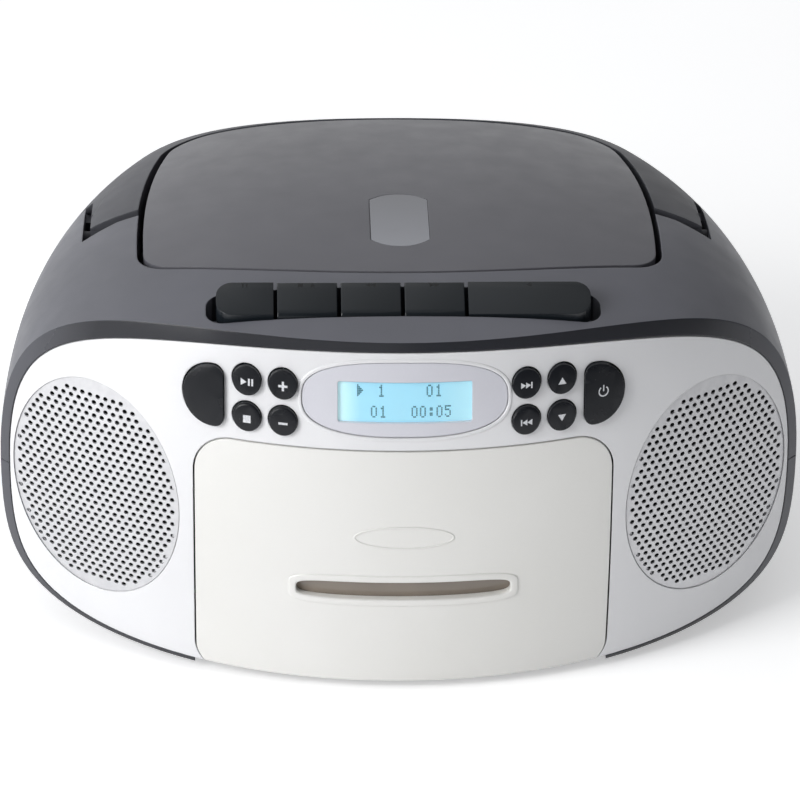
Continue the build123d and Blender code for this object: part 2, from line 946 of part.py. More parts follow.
def wide_button_prism(side, grow):
    """Prism of a button with one flat side towards the middle."""
    center_x = wide_button_outer_x - wide_button_radius
    with BuildPart() as prism:
        with BuildSketch(Plane.XZ.offset(-front_near_y)) as outline:
            with Locations((side * center_x, wide_button_z)):
                Circle(wide_button_radius + grow)
            with Locations((side * (wide_button_inner_x - grow - far / 2), wide_button_z)):
                Rectangle(far, far, mode=Mode.SUBTRACT)
            flat_ends = outline.vertices().sort_by(Axis.X, reverse=side < 0)[:2]
            fillet(flat_ends, wide_button_corner + grow)
        extrude(amount=front_near_y)
    return prism.part


# Where a loudspeaker stands: on the panel's own normal, seen from above
speaker_turn = degrees(asin(speaker_x / front_plan_radius))
speaker_face_y = face_at(speaker_x, speaker_z)
speaker_inward = Vector(0, 1, 0).rotate(Axis.Z, speaker_turn)


def speaker_plane(depth):
    """The plane across the right-hand loudspeaker, depth behind the panel's face."""
    place = Vector(speaker_x, speaker_face_y, speaker_z) + speaker_inward * depth
    return Plane(origin=tuple(place), x_dir=(0, 0, 1), z_dir=tuple(speaker_inward))


def speaker_cone_form(depth, near_radius, far_radius, length):
    """A frustum along the loudspeaker's axis."""
    with BuildPart() as form:
        with BuildSketch(speaker_plane(depth)):
            Circle(near_radius)
        with BuildSketch(speaker_plane(depth + length)):
            Circle(far_radius)
        loft()
    return form.part


# Front panel, with seats for the grilles, the lens, the buttons and the cassette door
button_radius = button_diameter / 2
button_columns_both = [-x for x in button_columns] + list(button_columns)
button_places = [(x, z) for x in button_columns_both for z in button_rows]
with BuildPart() as speaker_ring:
    ring_length = speaker_setback - panel_wall / 2
    ring_inner = speaker_ring_radius - speaker_ring_wall
    add(speaker_cone_form(panel_wall / 2, speaker_ring_radius, speaker_ring_radius, ring_length))
    add(speaker_cone_form(0, ring_inner, ring_inner, speaker_setback + 1), mode=Mode.SUBTRACT)
    add(front_barrel(panel_wall / 2), mode=Mode.INTERSECT)

with BuildPart() as board_boss:
    # It stands in the middle of the four round buttons
    boss_x = sum(button_columns) / len(button_columns)
    boss_z = sum(button_rows) / len(button_rows)
    add(rod_y(boss_x, boss_z, board_y, front_y, board_boss_radius))
    add(front_barrel(panel_wall / 2), mode=Mode.INTERSECT)

with BuildPart() as grille_seat:
    add(grille_prism(grille_gap))
    add(front_barrel(grille_setback + grille_thickness + seat_play), mode=Mode.SUBTRACT)

with BuildPart() as lens_seat:
    add(lens_prism(seat_play))
    add(front_barrel(lens_thickness), mode=Mode.SUBTRACT)

with BuildPart() as front_panel:
    add(front_layer(0, panel_wall - seat_play))
    add(panel_prism(seam), mode=Mode.INTERSECT, clean=False)
    add(both_sides(speaker_ring.part) + both_sides(board_boss.part), clean=False)
    add(door_prism(door_gap), mode=Mode.SUBTRACT, clean=False)
    holes = both_sides(grille_seat.part) + both_sides(grille_prism(-grille_rim))
    holes += [lens_seat.part, lens_prism(-lens_rim)]
    for x, z in button_places:
        holes.append(rod_y(x, z, 0, front_near_y, button_radius + slide_gap))
    for side in (-1, 1):
        holes.append(wide_button_prism(side, slide_gap))
    add(holes, mode=Mode.SUBTRACT, clean=False)
save(front_panel, "front_panel")

with BuildPart() as grille_right:
    add(front_layer(grille_setback, grille_setback + grille_thickness))
    add(grille_prism(0), mode=Mode.INTERSECT)
with BuildPart() as grille_left:
    add(grille_right.part.mirror(Plane.YZ))
save(grille_right, "grille_right")
save(grille_left, "grille_left")

# Loudspeakers: rim, basket and magnet in one piece, with the paper cone inside the basket
with BuildPart() as speaker_right:
    basket_start = speaker_setback + speaker_rim
    basket_end = magnet_radius - basket_wall
    add(speaker_cone_form(speaker_setback, speaker_radius, speaker_radius, speaker_rim))
    basket_mouth = cone_radius + 2 * basket_wall
    add(speaker_cone_form(basket_start, basket_mouth, magnet_radius, basket_depth - speaker_rim))
    add(speaker_cone_form(speaker_setback + basket_depth, magnet_radius, magnet_radius, magnet_depth))
    cone_room = cone_radius + basket_wall
    add(speaker_cone_form(speaker_setback, cone_room, basket_end, basket_depth - 1), mode=Mode.SUBTRACT)
with BuildPart() as speaker_left:
    add(speaker_right.part.mirror(Plane.YZ))
save(speaker_right, "speaker_right")
save(speaker_left, "speaker_left")

with BuildPart() as speaker_cone_right:
    cone_start = speaker_setback + seam
    cone_edge = cone_radius + basket_wall - seam
    add(speaker_cone_form(cone_start, cone_edge, dust_cap_radius, cone_depth))
    inner_edge = cone_edge - cone_thickness
    inner_end = dust_cap_radius - cone_thickness
    add(speaker_cone_form(cone_start - 1, inner_edge, inner_end, cone_depth), mode=Mode.SUBTRACT)
with BuildPart() as speaker_cone_left:
    add(speaker_cone_right.part.mirror(Plane.YZ))
save(speaker_cone_right, "speaker_cone_right")
save(speaker_cone_left, "speaker_cone_left")

# Display window, the display behind it and the board that the buttons press
with BuildPart() as display_lens:
    add(front_layer(0, lens_thickness - seat_play))
    add(lens_prism(0), mode=Mode.INTERSECT)
save(display_lens, "display_lens")

face_turn = asin((lens_z - front_bulge_height) / front_profile_radius)
lcd_normal = Vector(0, -1, 0).rotate(Axis.X, -degrees(face_turn))
lcd_place = Vector(0, face_at(0, lens_z), lens_z) - lcd_normal * lcd_setback
with BuildPart() as lcd_module:
    with BuildSketch(Plane(origin=tuple(lcd_place), x_dir=(1, 0, 0), z_dir=tuple(-lcd_normal))):
        Rectangle(lcd_width, lcd_height)
    extrude(amount=lcd_thickness)
    for x in (-lcd_post_x, lcd_post_x):
        post_start = face_at(0, lens_z) + lcd_setback + lcd_thickness / 2
        add(rod_y(x, lens_z, post_start, board_y, lcd_post_radius))
save(lcd_module, "lcd_module")

with BuildPart() as control_board:
    add(
        block(
            -board_half_width,
            board_half_width,
            board_y,
            board_y + board_thickness,
            board_low,
            board_high,
        )
    )
save(control_board, "control_board")

# Front buttons: a cap that follows the bulge, a flange behind the panel and a stem
button_face = front_barrel(-button_rise)
flange_depth = panel_wall + slide_gap
flange_layer = front_layer(flange_depth, flange_depth + flange_thickness)
stem_end_y = board_y - button_travel - slide_gap


def save_button(name, x, z, cap_prism, flange_prism):
    """One front button, from the prisms of its cap and of its flange."""
    with BuildPart() as flange:
        add(flange_prism)
        add(flange_layer, mode=Mode.INTERSECT)
    back_y = face_at(abs(x), z) + flange_depth + flange_thickness / 2
    with BuildPart() as button:
        add(cap_prism)
        add(block(-far, far, -far, back_y, 0, far), mode=Mode.INTERSECT)
        add(button_face, mode=Mode.INTERSECT)
        add([flange.part, rod_y(x, z, back_y - flange_thickness, stem_end_y, stem_radius)])
    save(button, name)


round_buttons = {
    "button_play_pause": (-1, 1, 1),
    "button_folder_up": (-1, 0, 1),
    "button_stop": (-1, 1, 0),
    "button_folder_down": (-1, 0, 0),
    "button_skip_forward": (1, 0, 1),
    "button_up": (1, 1, 1),
    "button_skip_back": (1, 0, 0),
    "button_down": (1, 1, 0),
}
for button_name, (side, column, row) in round_buttons.items():
    button_x = side * button_columns[column]
    button_z = button_rows[row]
    cap = rod_y(button_x, button_z, front_near_y, 0, button_radius)
    flange_rod = rod_y(button_x, button_z, front_near_y, 0, button_radius + button_flange)
    save_button(button_name, button_x, button_z, cap, flange_rod)
for button_name, side in (("button_mode", -1), ("button_power", 1)):
    button_x = side * (wide_button_inner_x + wide_button_outer_x) / 2
    cap = wide_button_prism(side, 0)
    save_button(button_name, button_x, wide_button_z, cap, wide_button_prism(side, button_flange))

# Tape keys: one cap each with a bevelled top, on a stem through the floor of the recess
with BuildPart() as key_row:
    with BuildSketch(Plane.XY.offset(key_bottom)):
        with Locations((0, (key_front_y + key_rear_y) / 2)):
            RectangleRounded(key_row_width, key_rear_y - key_front_y, key_end_radius)
    extrude(amount=key_top - key_bottom)

for key_name, key_left, key_width in zip(key_names, key_left_edges, key_widths):
    with BuildPart() as key:
        with BuildSketch(Plane.YZ.offset(key_left)):
            with BuildLine():
                bevel_y = key_front_y + key_bevel_run
                Polyline(
                    (key_front_y, key_bottom),
                    (key_front_y, key_toe_z),
                    (bevel_y, key_top - key_bevel_drop),
                    (key_rear_y, key_top),
                    (key_rear_y, key_bottom),
                    close=True,
                )
            make_face()
        extrude(amount=key_width)
        add(key_row.part, mode=Mode.INTERSECT)
        stem_x = key_left + key_width / 2
        add(
            block(
                stem_x - key_stem_width / 2,
                stem_x + key_stem_width / 2,
                key_stem_y - key_stem_depth / 2,
                key_stem_y + key_stem_depth / 2,
                key_stem_bottom,
                key_bottom,
            )
        )
    save(key, key_name)

# Cassette door with its two hinge lugs, the strip in its slot and the holder behind it
with BuildPart() as slot_form:
    add(
        rounded_prism(
            front_near_y,
            0,
            slot_width / 2,
            slot_height / 2,
            slot_height / 2,
            slot_power,
            slot_power,
            (0.0, slot_z),
        )
    )

with BuildPart() as door_lug:
    add(rod_x(door_lug_x, door_lug_x + door_lug_width, door_hinge_y, door_hinge_z, door_lug_radius))
    add(
        block(
            door_lug_x,
            door_lug_x + door_lug_width,
            front_y,
            door_hinge_y,
            door_arm_low,
            door_arm_high,
        )
    )
    add(front_barrel(door_wall / 2), mode=Mode.INTERSECT)
    pin_end = door_arm_x + door_arm_width
    add(rod_x(door_lug_x, pin_end, door_hinge_y, door_hinge_z, door_pin_radius))

with BuildPart() as cassette_door:
    add(front_layer(0, door_wall))
    add(door_prism(0), mode=Mode.INTERSECT)
    add(panel_prism(seam), mode=Mode.INTERSECT)
    add(both_sides(door_lug.part))
    add(slot_form.part, mode=Mode.SUBTRACT)
save(cassette_door, "cassette_door")

with BuildPart() as cassette_window:
    add(front_layer(door_wall + seat_play, door_wall + seat_play + window_plate))
    window_half = slot_width / 2 + slot_surround
    window_low = slot_z - slot_height / 2 - slot_surround
    window_high = slot_z + slot_height / 2 + slot_surround
    add(block(-window_half, window_half, front_y, 0, window_low, window_high), mode=Mode.INTERSECT)
save(cassette_window, "cassette_window")

with BuildPart() as cassette_holder:
    inner_half = cassette_width / 2 + cassette_play
    outer_half = inner_half + holder_side
    plate_rear_y = holder_front_y + holder_wall
    add(block(-outer_half, outer_half, holder_front_y, holder_rear_y, holder_low, holder_high))
    inside = block(-inner_half, inner_half, plate_rear_y, 0, holder_low + 2 * holder_wall, far)
    sight = block(
        -slot_width / 2,
        slot_width / 2,
        front_y,
        0,
        slot_z - slot_height / 2 - slot_surround,
        slot_z + slot_height / 2 + slot_surround,
    )
    add([inside, sight], mode=Mode.SUBTRACT)
    rib = block(
        holder_rib_x, holder_rib_x + holder_rib, front_y, holder_front_y, holder_rib_low, holder_rib_high
    )
    with_ribs = both_sides(rib & front_barrel(door_wall))
    add(with_ribs)
save(cassette_holder, "cassette_holder")

# Tape mechanism: plate, head, pinch roller, capstan, reels, motor and belt
motor_posts = [
    (motor_post_x, tape_motor_z + motor_post_reach),
    (motor_post_x, tape_motor_z - motor_post_reach),
]
tape_plate_rear_y = tape_plate_y + tape_plate_thickness
motor_flange_y = flywheel_rear_y
with BuildPart() as tape_chassis:
    add(
        block(
            -tape_plate_half,
            tape_plate_half,
            tape_plate_y,
            tape_plate_rear_y,
            tape_plate_low,
            tape_plate_high,
        )
    )
    for x, z in motor_posts:
        add(rod_y(x, z, tape_plate_y, motor_flange_y, motor_post_radius))
    bores = [rod_y(capstan_x, capstan_z, -far, 0, capstan_radius + pin_play)]
    for side in (-1, 1):
        bores.append(rod_y(side * reel_spacing / 2, reel_z, -far, 0, reel_shaft_radius + pin_play))
    add(bores, mode=Mode.SUBTRACT)
save(tape_chassis, "tape_chassis")

head_front_y = tape_plate_y - slide_gap - head_plate_thickness
with BuildPart() as tape_head:
    add(
        block(
            -head_half_width,
            head_half_width,
            head_front_y,
            tape_plate_y - slide_gap,
            head_low,
            head_high,
        )
    )
    add(
        block(
            -head_block_half,
            head_block_half,
            head_block_front_y,
            head_front_y,
            head_block_low,
            head_block_high,
        )
    )
    add(rod_y(capstan_x, pinch_z, pinch_front_y - 1, head_front_y, pinch_pin_radius))
save(tape_head, "tape_head")

with BuildPart() as pinch_roller:
    add(rod_y(capstan_x, pinch_z, pinch_front_y, pinch_rear_y, pinch_radius))
    add(rod_y(capstan_x, pinch_z, -far, 0, pinch_pin_radius + pin_play), mode=Mode.SUBTRACT)
save(pinch_roller, "pinch_roller")

with BuildPart() as capstan:
    add(rod_y(capstan_x, capstan_z, capstan_front_y, flywheel_rear_y, capstan_radius))
    add(rod_y(capstan_x, capstan_z, flywheel_front_y, flywheel_rear_y, flywheel_radius))
save(capstan, "capstan")

for reel_name, side in (("reel_left", -1), ("reel_right", 1)):
    with BuildPart() as reel:
        reel_x = side * reel_spacing / 2
        table_rear_y = tape_plate_y - slide_gap
        add(rod_y(reel_x, reel_z, reel_front_y, table_rear_y, reel_radius))
        add(rod_y(reel_x, reel_z, table_rear_y - reel_table_thickness, table_rear_y, reel_table_radius))
        add(rod_y(reel_x, reel_z, table_rear_y, flywheel_front_y, reel_shaft_radius))
    save(reel, reel_name)

with BuildPart() as tape_motor:
    flange_rear_y = motor_flange_y + motor_flange_thickness
    add(
        block(
            tape_motor_x - tape_motor_radius - 1,
            motor_post_x + motor_post_radius + 1,
            motor_flange_y,
            flange_rear_y,
            tape_motor_z - motor_post_reach - motor_post_radius - 1,
            tape_motor_z + motor_post_reach + motor_post_radius + 1,
        )
    )
    can_end_y = flange_rear_y + tape_motor_length
    add(rod_y(tape_motor_x, tape_motor_z, flange_rear_y, can_end_y, tape_motor_radius))
    shaft_bore = motor_shaft_radius + pin_play
    add(rod_y(tape_motor_x, tape_motor_z, -far, can_end_y - 1, shaft_bore), mode=Mode.SUBTRACT)
save(tape_motor, "tape_motor")

with BuildPart() as motor_pulley:
    add(rod_y(tape_motor_x, tape_motor_z, pulley_front_y, pulley_rear_y, pulley_radius))
    add(rod_y(tape_motor_x, tape_motor_z, pulley_rear_y, motor_shaft_end_y, motor_shaft_radius))
save(motor_pulley, "motor_pulley")


def belt_loop(clearance):
    """The belt's outline round the flywheel and the pulley, filled in."""
    with BuildSketch(Plane.XZ.offset(-belt_y + belt_width / 2)) as outline:
        with Locations((capstan_x, capstan_z)):
            Circle(flywheel_radius + clearance)
        with Locations((tape_motor_x, tape_motor_z)):
            Circle(pulley_radius + clearance)
        make_hull()
    return extrude(outline.sketch, amount=-belt_width)


with BuildPart() as drive_belt:
    add(belt_loop(seat_play + belt_thickness))
    add(belt_loop(seat_play), mode=Mode.SUBTRACT)
save(drive_belt, "drive_belt")

# Disc lid: a skin with a skirt, hinge lugs, a latch hook, a boss for the clamp and a window
def window_prism(grow):
    """Prism of the lid's window: straight sides and arched ends."""
    half = window_width / 2 + grow
    front = window_front_y - grow
    rear = window_rear_y + grow
    with BuildPart() as prism:
        with BuildSketch(Plane.XY.offset(deck_top)):
            with BuildLine():
                ThreePointArc((-half, front + window_arch), (0, front), (half, front + window_arch))
                Line((half, front + window_arch), (half, rear - window_arch))
                ThreePointArc((half, rear - window_arch), (0, rear), (-half, rear - window_arch))
                Line((-half, rear - window_arch), (-half, front + window_arch))
            make_face()
        extrude(amount=far)
    return prism.part


lid_inset = -lid_skirt_wall
under_skin = case_loft(lid_skin)
under_skirt = case_loft(lid_skirt)
clamp_disc_top = deck_top - disc_recess + turntable_rise + turntable_thickness + clamp_gap + clamp_thickness
clamp_boss_low = clamp_disc_top + slide_gap
collar_low = clamp_boss_low + clamp_boss_floor
collar_high = collar_low + clamp_collar_thickness
turntable_low = deck_top - disc_recess + turntable_rise
turntable_top = turntable_low + turntable_thickness

with BuildPart() as lid_hollow:
    add(lid_prism(deck_top, opening_high, lid_inset, lid_inset, lid_inset))
    add(under_skin, mode=Mode.INTERSECT)

with BuildPart() as lid_skirt_cut:
    add(block(-far, far, lid_skirt_rear_y, far, 0, far))
    add(under_skin, mode=Mode.INTERSECT)

with BuildPart() as lid_fittings:
    lug = rod_x(lid_lug_x, lid_lug_x + lid_lug_width, lid_hinge_y, lid_hinge_z, lid_lug_radius)
    lug_web = block(
        lid_lug_x,
        lid_lug_x + lid_lug_width,
        lid_hinge_y - lid_lug_radius,
        lid_hinge_y + lid_lug_radius,
        lid_hinge_z,
        opening_high,
    )
    latch = block(
        -latch_half_width, latch_half_width, latch_y, latch_y + latch_thickness, latch_low, opening_high
    )
    add([latch, rod_z(0, disc_center_y, clamp_boss_low, opening_high, clamp_boss_radius)])
    add(both_sides(lug) + both_sides(lug_web))
    add(case_loft(lid_skin / 2), mode=Mode.INTERSECT)
    pin_end = lid_lug_x + lid_lug_width + slide_gap + lid_post_width
    add(both_sides(rod_x(lid_lug_x, pin_end, lid_hinge_y, lid_hinge_z, lid_pin_radius)))
    shaft_room = rod_z(0, disc_center_y, 0, collar_high, clamp_shaft_radius + pin_play)
    collar_room = rod_z(
        0, disc_center_y, collar_low - slide_gap, collar_high + slide_gap, clamp_collar_radius + slide_gap
    )
    add([shaft_room, collar_room], mode=Mode.SUBTRACT)

with BuildPart() as window_seat:
    add(window_prism(seam / 2))
    add(case_loft(window_thickness), mode=Mode.SUBTRACT)

with BuildPart() as cd_lid:
    add(lid_prism(deck_top, opening_high, 0, 0, 0))
    add(outer_form.part, mode=Mode.INTERSECT, clean=False)
    add([lid_hollow.part, lid_skirt_cut.part, under_skirt], mode=Mode.SUBTRACT, clean=False)
    add(lid_fittings.part, clean=False)
    add([window_seat.part, window_prism(-window_rim)], mode=Mode.SUBTRACT, clean=False)
save(cd_lid, "cd_lid")

with BuildPart() as lid_window:
    add(window_prism(0))
    add(outer_form.part, mode=Mode.INTERSECT, clean=False)
    add(case_loft(window_thickness - seat_play), mode=Mode.SUBTRACT, clean=False)
save(lid_window, "lid_window")

with BuildPart() as disc_clamp:
    add(rod_z(0, disc_center_y, clamp_disc_top - clamp_thickness, clamp_disc_top, clamp_radius))
    add(rod_z(0, disc_center_y, clamp_disc_top, collar_high, clamp_shaft_radius))
    add(rod_z(0, disc_center_y, collar_low, collar_high, clamp_collar_radius))
    hub_room_top = turntable_top + hub_height + clamp_hub_room
    hub_room = rod_z(0, disc_center_y, 0, hub_room_top, hub_radius + clamp_hub_room)
    add(hub_room, mode=Mode.SUBTRACT)
save(disc_clamp, "disc_clamp")

# Deck under the lid, with the disc's well, and the disc drive below it
well_radius = disc_radius + disc_margin
well_floor = deck_top - disc_recess
well_underside = well_floor - disc_recess_floor
turret_y = sled_y
slot_front_y = turret_y - sled_travel - turret_length / 2 - slide_gap
with BuildPart() as cd_deck:
    add(lid_hole(deck_low, deck_top, -seam))
    add(rod_z(0, disc_center_y, well_underside, deck_top, well_radius + disc_recess_floor))
    add(rod_z(0, disc_center_y, well_floor, far, well_radius), mode=Mode.SUBTRACT)
    turntable_hole = rod_z(0, disc_center_y, 0, far, turntable_radius + turntable_gap)
    sled_slot = block(
        -turret_half_width - slide_gap,
        turret_half_width + slide_gap,
        slot_front_y,
        disc_center_y,
        0,
        far,
    )
    add([turntable_hole, sled_slot], mode=Mode.SUBTRACT)
    post_x = lid_lug_x + lid_lug_width + slide_gap
    post = block(
        post_x,
        post_x + lid_post_width,
        lid_hinge_y - lid_post_radius,
        lid_hinge_y + lid_post_radius,
        deck_low,
        lid_hinge_z,
    )
    post_top = rod_x(post_x, post_x + lid_post_width, lid_hinge_y, lid_hinge_z, lid_post_radius)
    add(both_sides(post) + both_sides(post_top))
    pin_bore = rod_x(
        post_x - 1, post_x + lid_post_width + 1, lid_hinge_y, lid_hinge_z, lid_pin_radius + pin_play
    )
    add(both_sides(pin_bore), mode=Mode.SUBTRACT)
save(cd_deck, "cd_deck")

chassis_top = chassis_low + chassis_plate
with BuildPart() as cd_spindle:
    add(rod_z(0, disc_center_y, turntable_low, turntable_top, turntable_radius))
    add(rod_z(0, disc_center_y, turntable_top, turntable_top + hub_height, hub_radius))
    add(rod_z(0, disc_center_y, chassis_top + 1, turntable_low, spindle_radius))
save(cd_spindle, "cd_spindle")

with BuildPart() as cd_chassis:
    add(block(-chassis_half, chassis_half, chassis_front_y, chassis_rear_y, chassis_low, chassis_top))
    add(rod_z(0, disc_center_y, chassis_top, spindle_motor_top, spindle_motor_radius))
    add(
        rod_z(0, disc_center_y, chassis_top + spindle_motor_gap, far, spindle_radius + pin_play),
        mode=Mode.SUBTRACT,
    )
    front_post_y = chassis_front_y + 3 * chassis_post_radius
    rear_post_y = chassis_rear_y - 2 * chassis_post_radius
    posts = both_sides(rod_z(chassis_post_x, front_post_y, chassis_low, deck_low, chassis_post_radius))
    posts += both_sides(rod_z(chassis_post_x, rear_post_y, chassis_low, well_underside, chassis_post_radius))
    rail_x = rail_spacing / 2
    rails = both_sides(rod_y(rail_x, rail_z, rail_front_y, rail_rear_y, rail_radius))
    for bracket_y in (rail_front_y, rail_rear_y - rail_bracket):
        rails += both_sides(
            block(
                rail_x - rail_bracket,
                rail_x + rail_bracket,
                bracket_y,
                bracket_y + rail_bracket,
                chassis_low,
                rail_z + rail_bracket,
            )
        )
    add(posts + rails)
save(cd_chassis, "cd_chassis")

with BuildPart() as laser_sled:
    sled_front_y = sled_y - sled_length / 2
    sled_rear_y = sled_y + sled_length / 2
    add(block(-sled_half_width, sled_half_width, sled_front_y, sled_rear_y, sled_low, sled_high))
    add(
        block(
            -turret_half_width,
            turret_half_width,
            turret_y - turret_length / 2,
            turret_y + turret_length / 2,
            sled_high,
            turret_top,
        )
    )
    rail_bore = rod_y(rail_spacing / 2, rail_z, -far, far, rail_radius + pin_play)
    add(both_sides(rail_bore), mode=Mode.SUBTRACT)
save(laser_sled, "laser_sled")

# Handle: two mouldings, split along a plane above the underside, on pins in the ears
with BuildPart() as handle_form:
    add(outer_form.part)
    add(above_handle_plane(0), mode=Mode.INTERSECT, clean=False)
    add(block(-far, far, handle_arm_front_y, far, 0, far), mode=Mode.INTERSECT, clean=False)
    beside_ears = both_sides(block(handle_arm_outer_x, far, -far, handle_pivot_y, 0, far))
    round_ears = both_sides(
        rod_x(
            handle_arm_outer_x, far, handle_pivot_y, handle_pivot_z, handle_ear_radius + handle_ear_gap
        )
    )
    lid_room = lid_hole(deck_low, opening_high, handle_lid_gap)
    add(beside_ears + round_ears + [lid_room], mode=Mode.SUBTRACT, clean=False)

handle_split = above_handle_plane(handle_cover)
with BuildPart() as handle:
    add(handle_form.part)
    add(handle_split, mode=Mode.INTERSECT, clean=False)
save(handle, "handle")

handle_inner_x = lid_half_width + lid_side_gap + handle_lid_gap
with BuildPart() as handle_pivots:
    boss = rod_x(handle_inner_x, handle_arm_outer_x, handle_pivot_y, handle_pivot_z, handle_boss_radius)
    pin = rod_x(
        handle_arm_outer_x - 1,
        handle_arm_outer_x + handle_pin_length,
        handle_pivot_y,
        handle_pivot_z,
        handle_pin_radius,
    )
    add(both_sides(boss) + both_sides(pin))
    add(handle_split, mode=Mode.SUBTRACT, clean=False)

with BuildPart() as handle_underside:
    add(handle_form.part)
    add(handle_split, mode=Mode.SUBTRACT, clean=False)
    add(handle_pivots.part, clean=False)
save(handle_underside, "handle_underside")

# Battery door on a rolled hinge along its lower edge, and the contacts in the bay
door_left = bay_left_x - battery_door_lap
door_right = bay_right_x + battery_door_lap
door_top_z = bay_top_z + battery_door_lap
with BuildPart() as battery_door:
    door_front_y = rear_y - battery_door_thickness
    add(block(door_left, door_right, door_front_y, rear_y, battery_axis_z, door_top_z))
    add(rod_x(door_left, door_right, battery_axis_y, battery_axis_z, battery_door_thickness / 2))
    add(
        rod_x(
            door_left - battery_door_pin_length,
            door_right + battery_door_pin_length,
            battery_axis_y,
            battery_axis_z,
            battery_door_pin_radius,
        )
    )
save(battery_door, "battery_door")

with BuildPart() as battery_contacts:
    contact_low = bay_bottom_z + contact_margin
    contact_high = bay_top_z - contact_margin
    contact_front = bay_front_y + contact_margin
    contact_rear = bay_rear_y - contact_margin
    left_x = bay_left_x + seat_play
    right_x = bay_right_x - seat_play
    add(block(left_x, left_x + contact_thickness, contact_front, contact_rear, contact_low, contact_high))
    add(block(right_x - contact_thickness, right_x, contact_front, contact_rear, contact_low, contact_high))
    for row in range(cells_deep):
        spring_y = bay_front_y + bay_play / 2 + cell_diameter * (row + 1 / 2)
        spring_z = bay_bottom_z + (bay_top_z - bay_bottom_z) / 2
        left_face = left_x + contact_thickness
        right_face = right_x - contact_thickness
        add(rod_x(left_face, left_face + contact_spring_height, spring_y, spring_z, contact_spring_radius))
        add(rod_x(right_face - contact_spring_height, right_face, spring_y, spring_z, contact_spring_radius))
save(battery_contacts, "battery_contacts")

# Mains inlet with its two pins, and the block of signal sockets above it
with BuildPart() as ac_inlet:
    add(
        block(
            inlet_x - inlet_width / 2,
            inlet_x + inlet_width / 2,
            rear_y - inlet_depth,
            rear_y,
            inlet_z - inlet_height / 2,
            inlet_z + inlet_height / 2,
        )
    )
    add(
        block(
            inlet_x - inlet_mouth_width / 2,
            inlet_x + inlet_mouth_width / 2,
            rear_y - inlet_mouth_depth,
            rear_y + 1,
            inlet_z - inlet_mouth_height / 2,
            inlet_z + inlet_mouth_height / 2,
        ),
        mode=Mode.SUBTRACT,
    )
    for side in (-1, 1):
        pin_x = inlet_x + side * inlet_pin_spacing / 2
        add(rod_y(pin_x, inlet_z, rear_y - inlet_depth + 1, rear_y - inlet_pin_setback, inlet_pin_radius))
save(ac_inlet, "ac_inlet")

with BuildPart() as audio_sockets:
    add(
        block(
            inlet_x - sockets_width / 2,
            inlet_x + sockets_width / 2,
            rear_y - sockets_depth,
            rear_y,
            sockets_z - sockets_height / 2,
            sockets_z + sockets_height / 2,
        )
    )
    usb_x = inlet_x + usb_offset
    mouth_y = rear_y - socket_mouth_depth
    usb_mouth = block(
        usb_x - usb_width / 2,
        usb_x + usb_width / 2,
        mouth_y,
        rear_y + 1,
        sockets_z - usb_height / 2,
        sockets_z + usb_height / 2,
    )
    jack_bore = rod_y(inlet_x + jack_offset, sockets_z, mouth_y, rear_y + 1, jack_radius)
    add([usb_mouth, jack_bore], mode=Mode.SUBTRACT)
save(audio_sockets, "audio_sockets")

with BuildPart() as main_board:
    add(
        block(
            main_board_left,
            main_board_right,
            main_board_front,
            main_board_rear,
            board_bottom,
            board_bottom + board_thickness,
        )
    )
save(main_board, "main_board")

with BuildPart() as transformer:
    half_width = transformer_width / 2
    half_depth = transformer_depth / 2
    top = transformer_low + transformer_height
    overhang = transformer_coil_overhang
    add(
        block(
            transformer_x - half_width,
            transformer_x + half_width,
            transformer_y - half_depth,
            transformer_y + half_depth,
            transformer_low,
            top,
        )
    )
    add(
        block(
            transformer_x - half_width + overhang,
            transformer_x + half_width - overhang,
            transformer_y - half_depth - overhang,
            transformer_y + half_depth + overhang,
            transformer_low + overhang,
            top - overhang,
        )
    )
save(transformer, "transformer")

# Aerial: a swivel in the back wall, an elbow and three tubes that draw out
with BuildPart() as antenna_swivel:
    disc_start_y = rear_y + seam
    disc_end_y = disc_start_y + swivel_disc_thickness
    wall_inside_y = rear_y - case_wall
    collar_rear_y = wall_inside_y - seam
    collar_front_y = collar_rear_y - swivel_collar_thickness
    add(rod_y(antenna_pivot_x, antenna_z, collar_front_y, disc_end_y, swivel_pin_radius))
    add(rod_y(antenna_pivot_x, antenna_z, collar_front_y, collar_rear_y, swivel_collar_radius))
    add(rod_y(antenna_pivot_x, antenna_z, disc_start_y, disc_end_y, swivel_disc_radius))
    arm_low_z = antenna_z - antenna_radius
    arm_high_z = antenna_z + antenna_radius
    arm_front_y = antenna_y - antenna_radius
    arm_rear_y = antenna_y + antenna_radius
    add(rod_y(antenna_pivot_x, antenna_z, disc_end_y, arm_rear_y, antenna_radius))
    add(block(antenna_elbow_x, antenna_pivot_x, arm_front_y, arm_rear_y, arm_low_z, arm_high_z))
    add(rod_z(antenna_elbow_x, antenna_y, arm_low_z, arm_high_z, antenna_radius))
    eye_slot = block(
        antenna_elbow_x - 2 * antenna_radius,
        antenna_elbow_x + antenna_radius + seam,
        arm_front_y - 1,
        arm_rear_y + 1,
        antenna_z - elbow_half_eye - seam,
        antenna_z + elbow_half_eye + seam,
    )
    add(eye_slot, mode=Mode.SUBTRACT)
    add(rod_z(antenna_elbow_x, antenna_y, arm_low_z, arm_high_z, elbow_pin_radius))
save(antenna_swivel, "antenna_swivel")

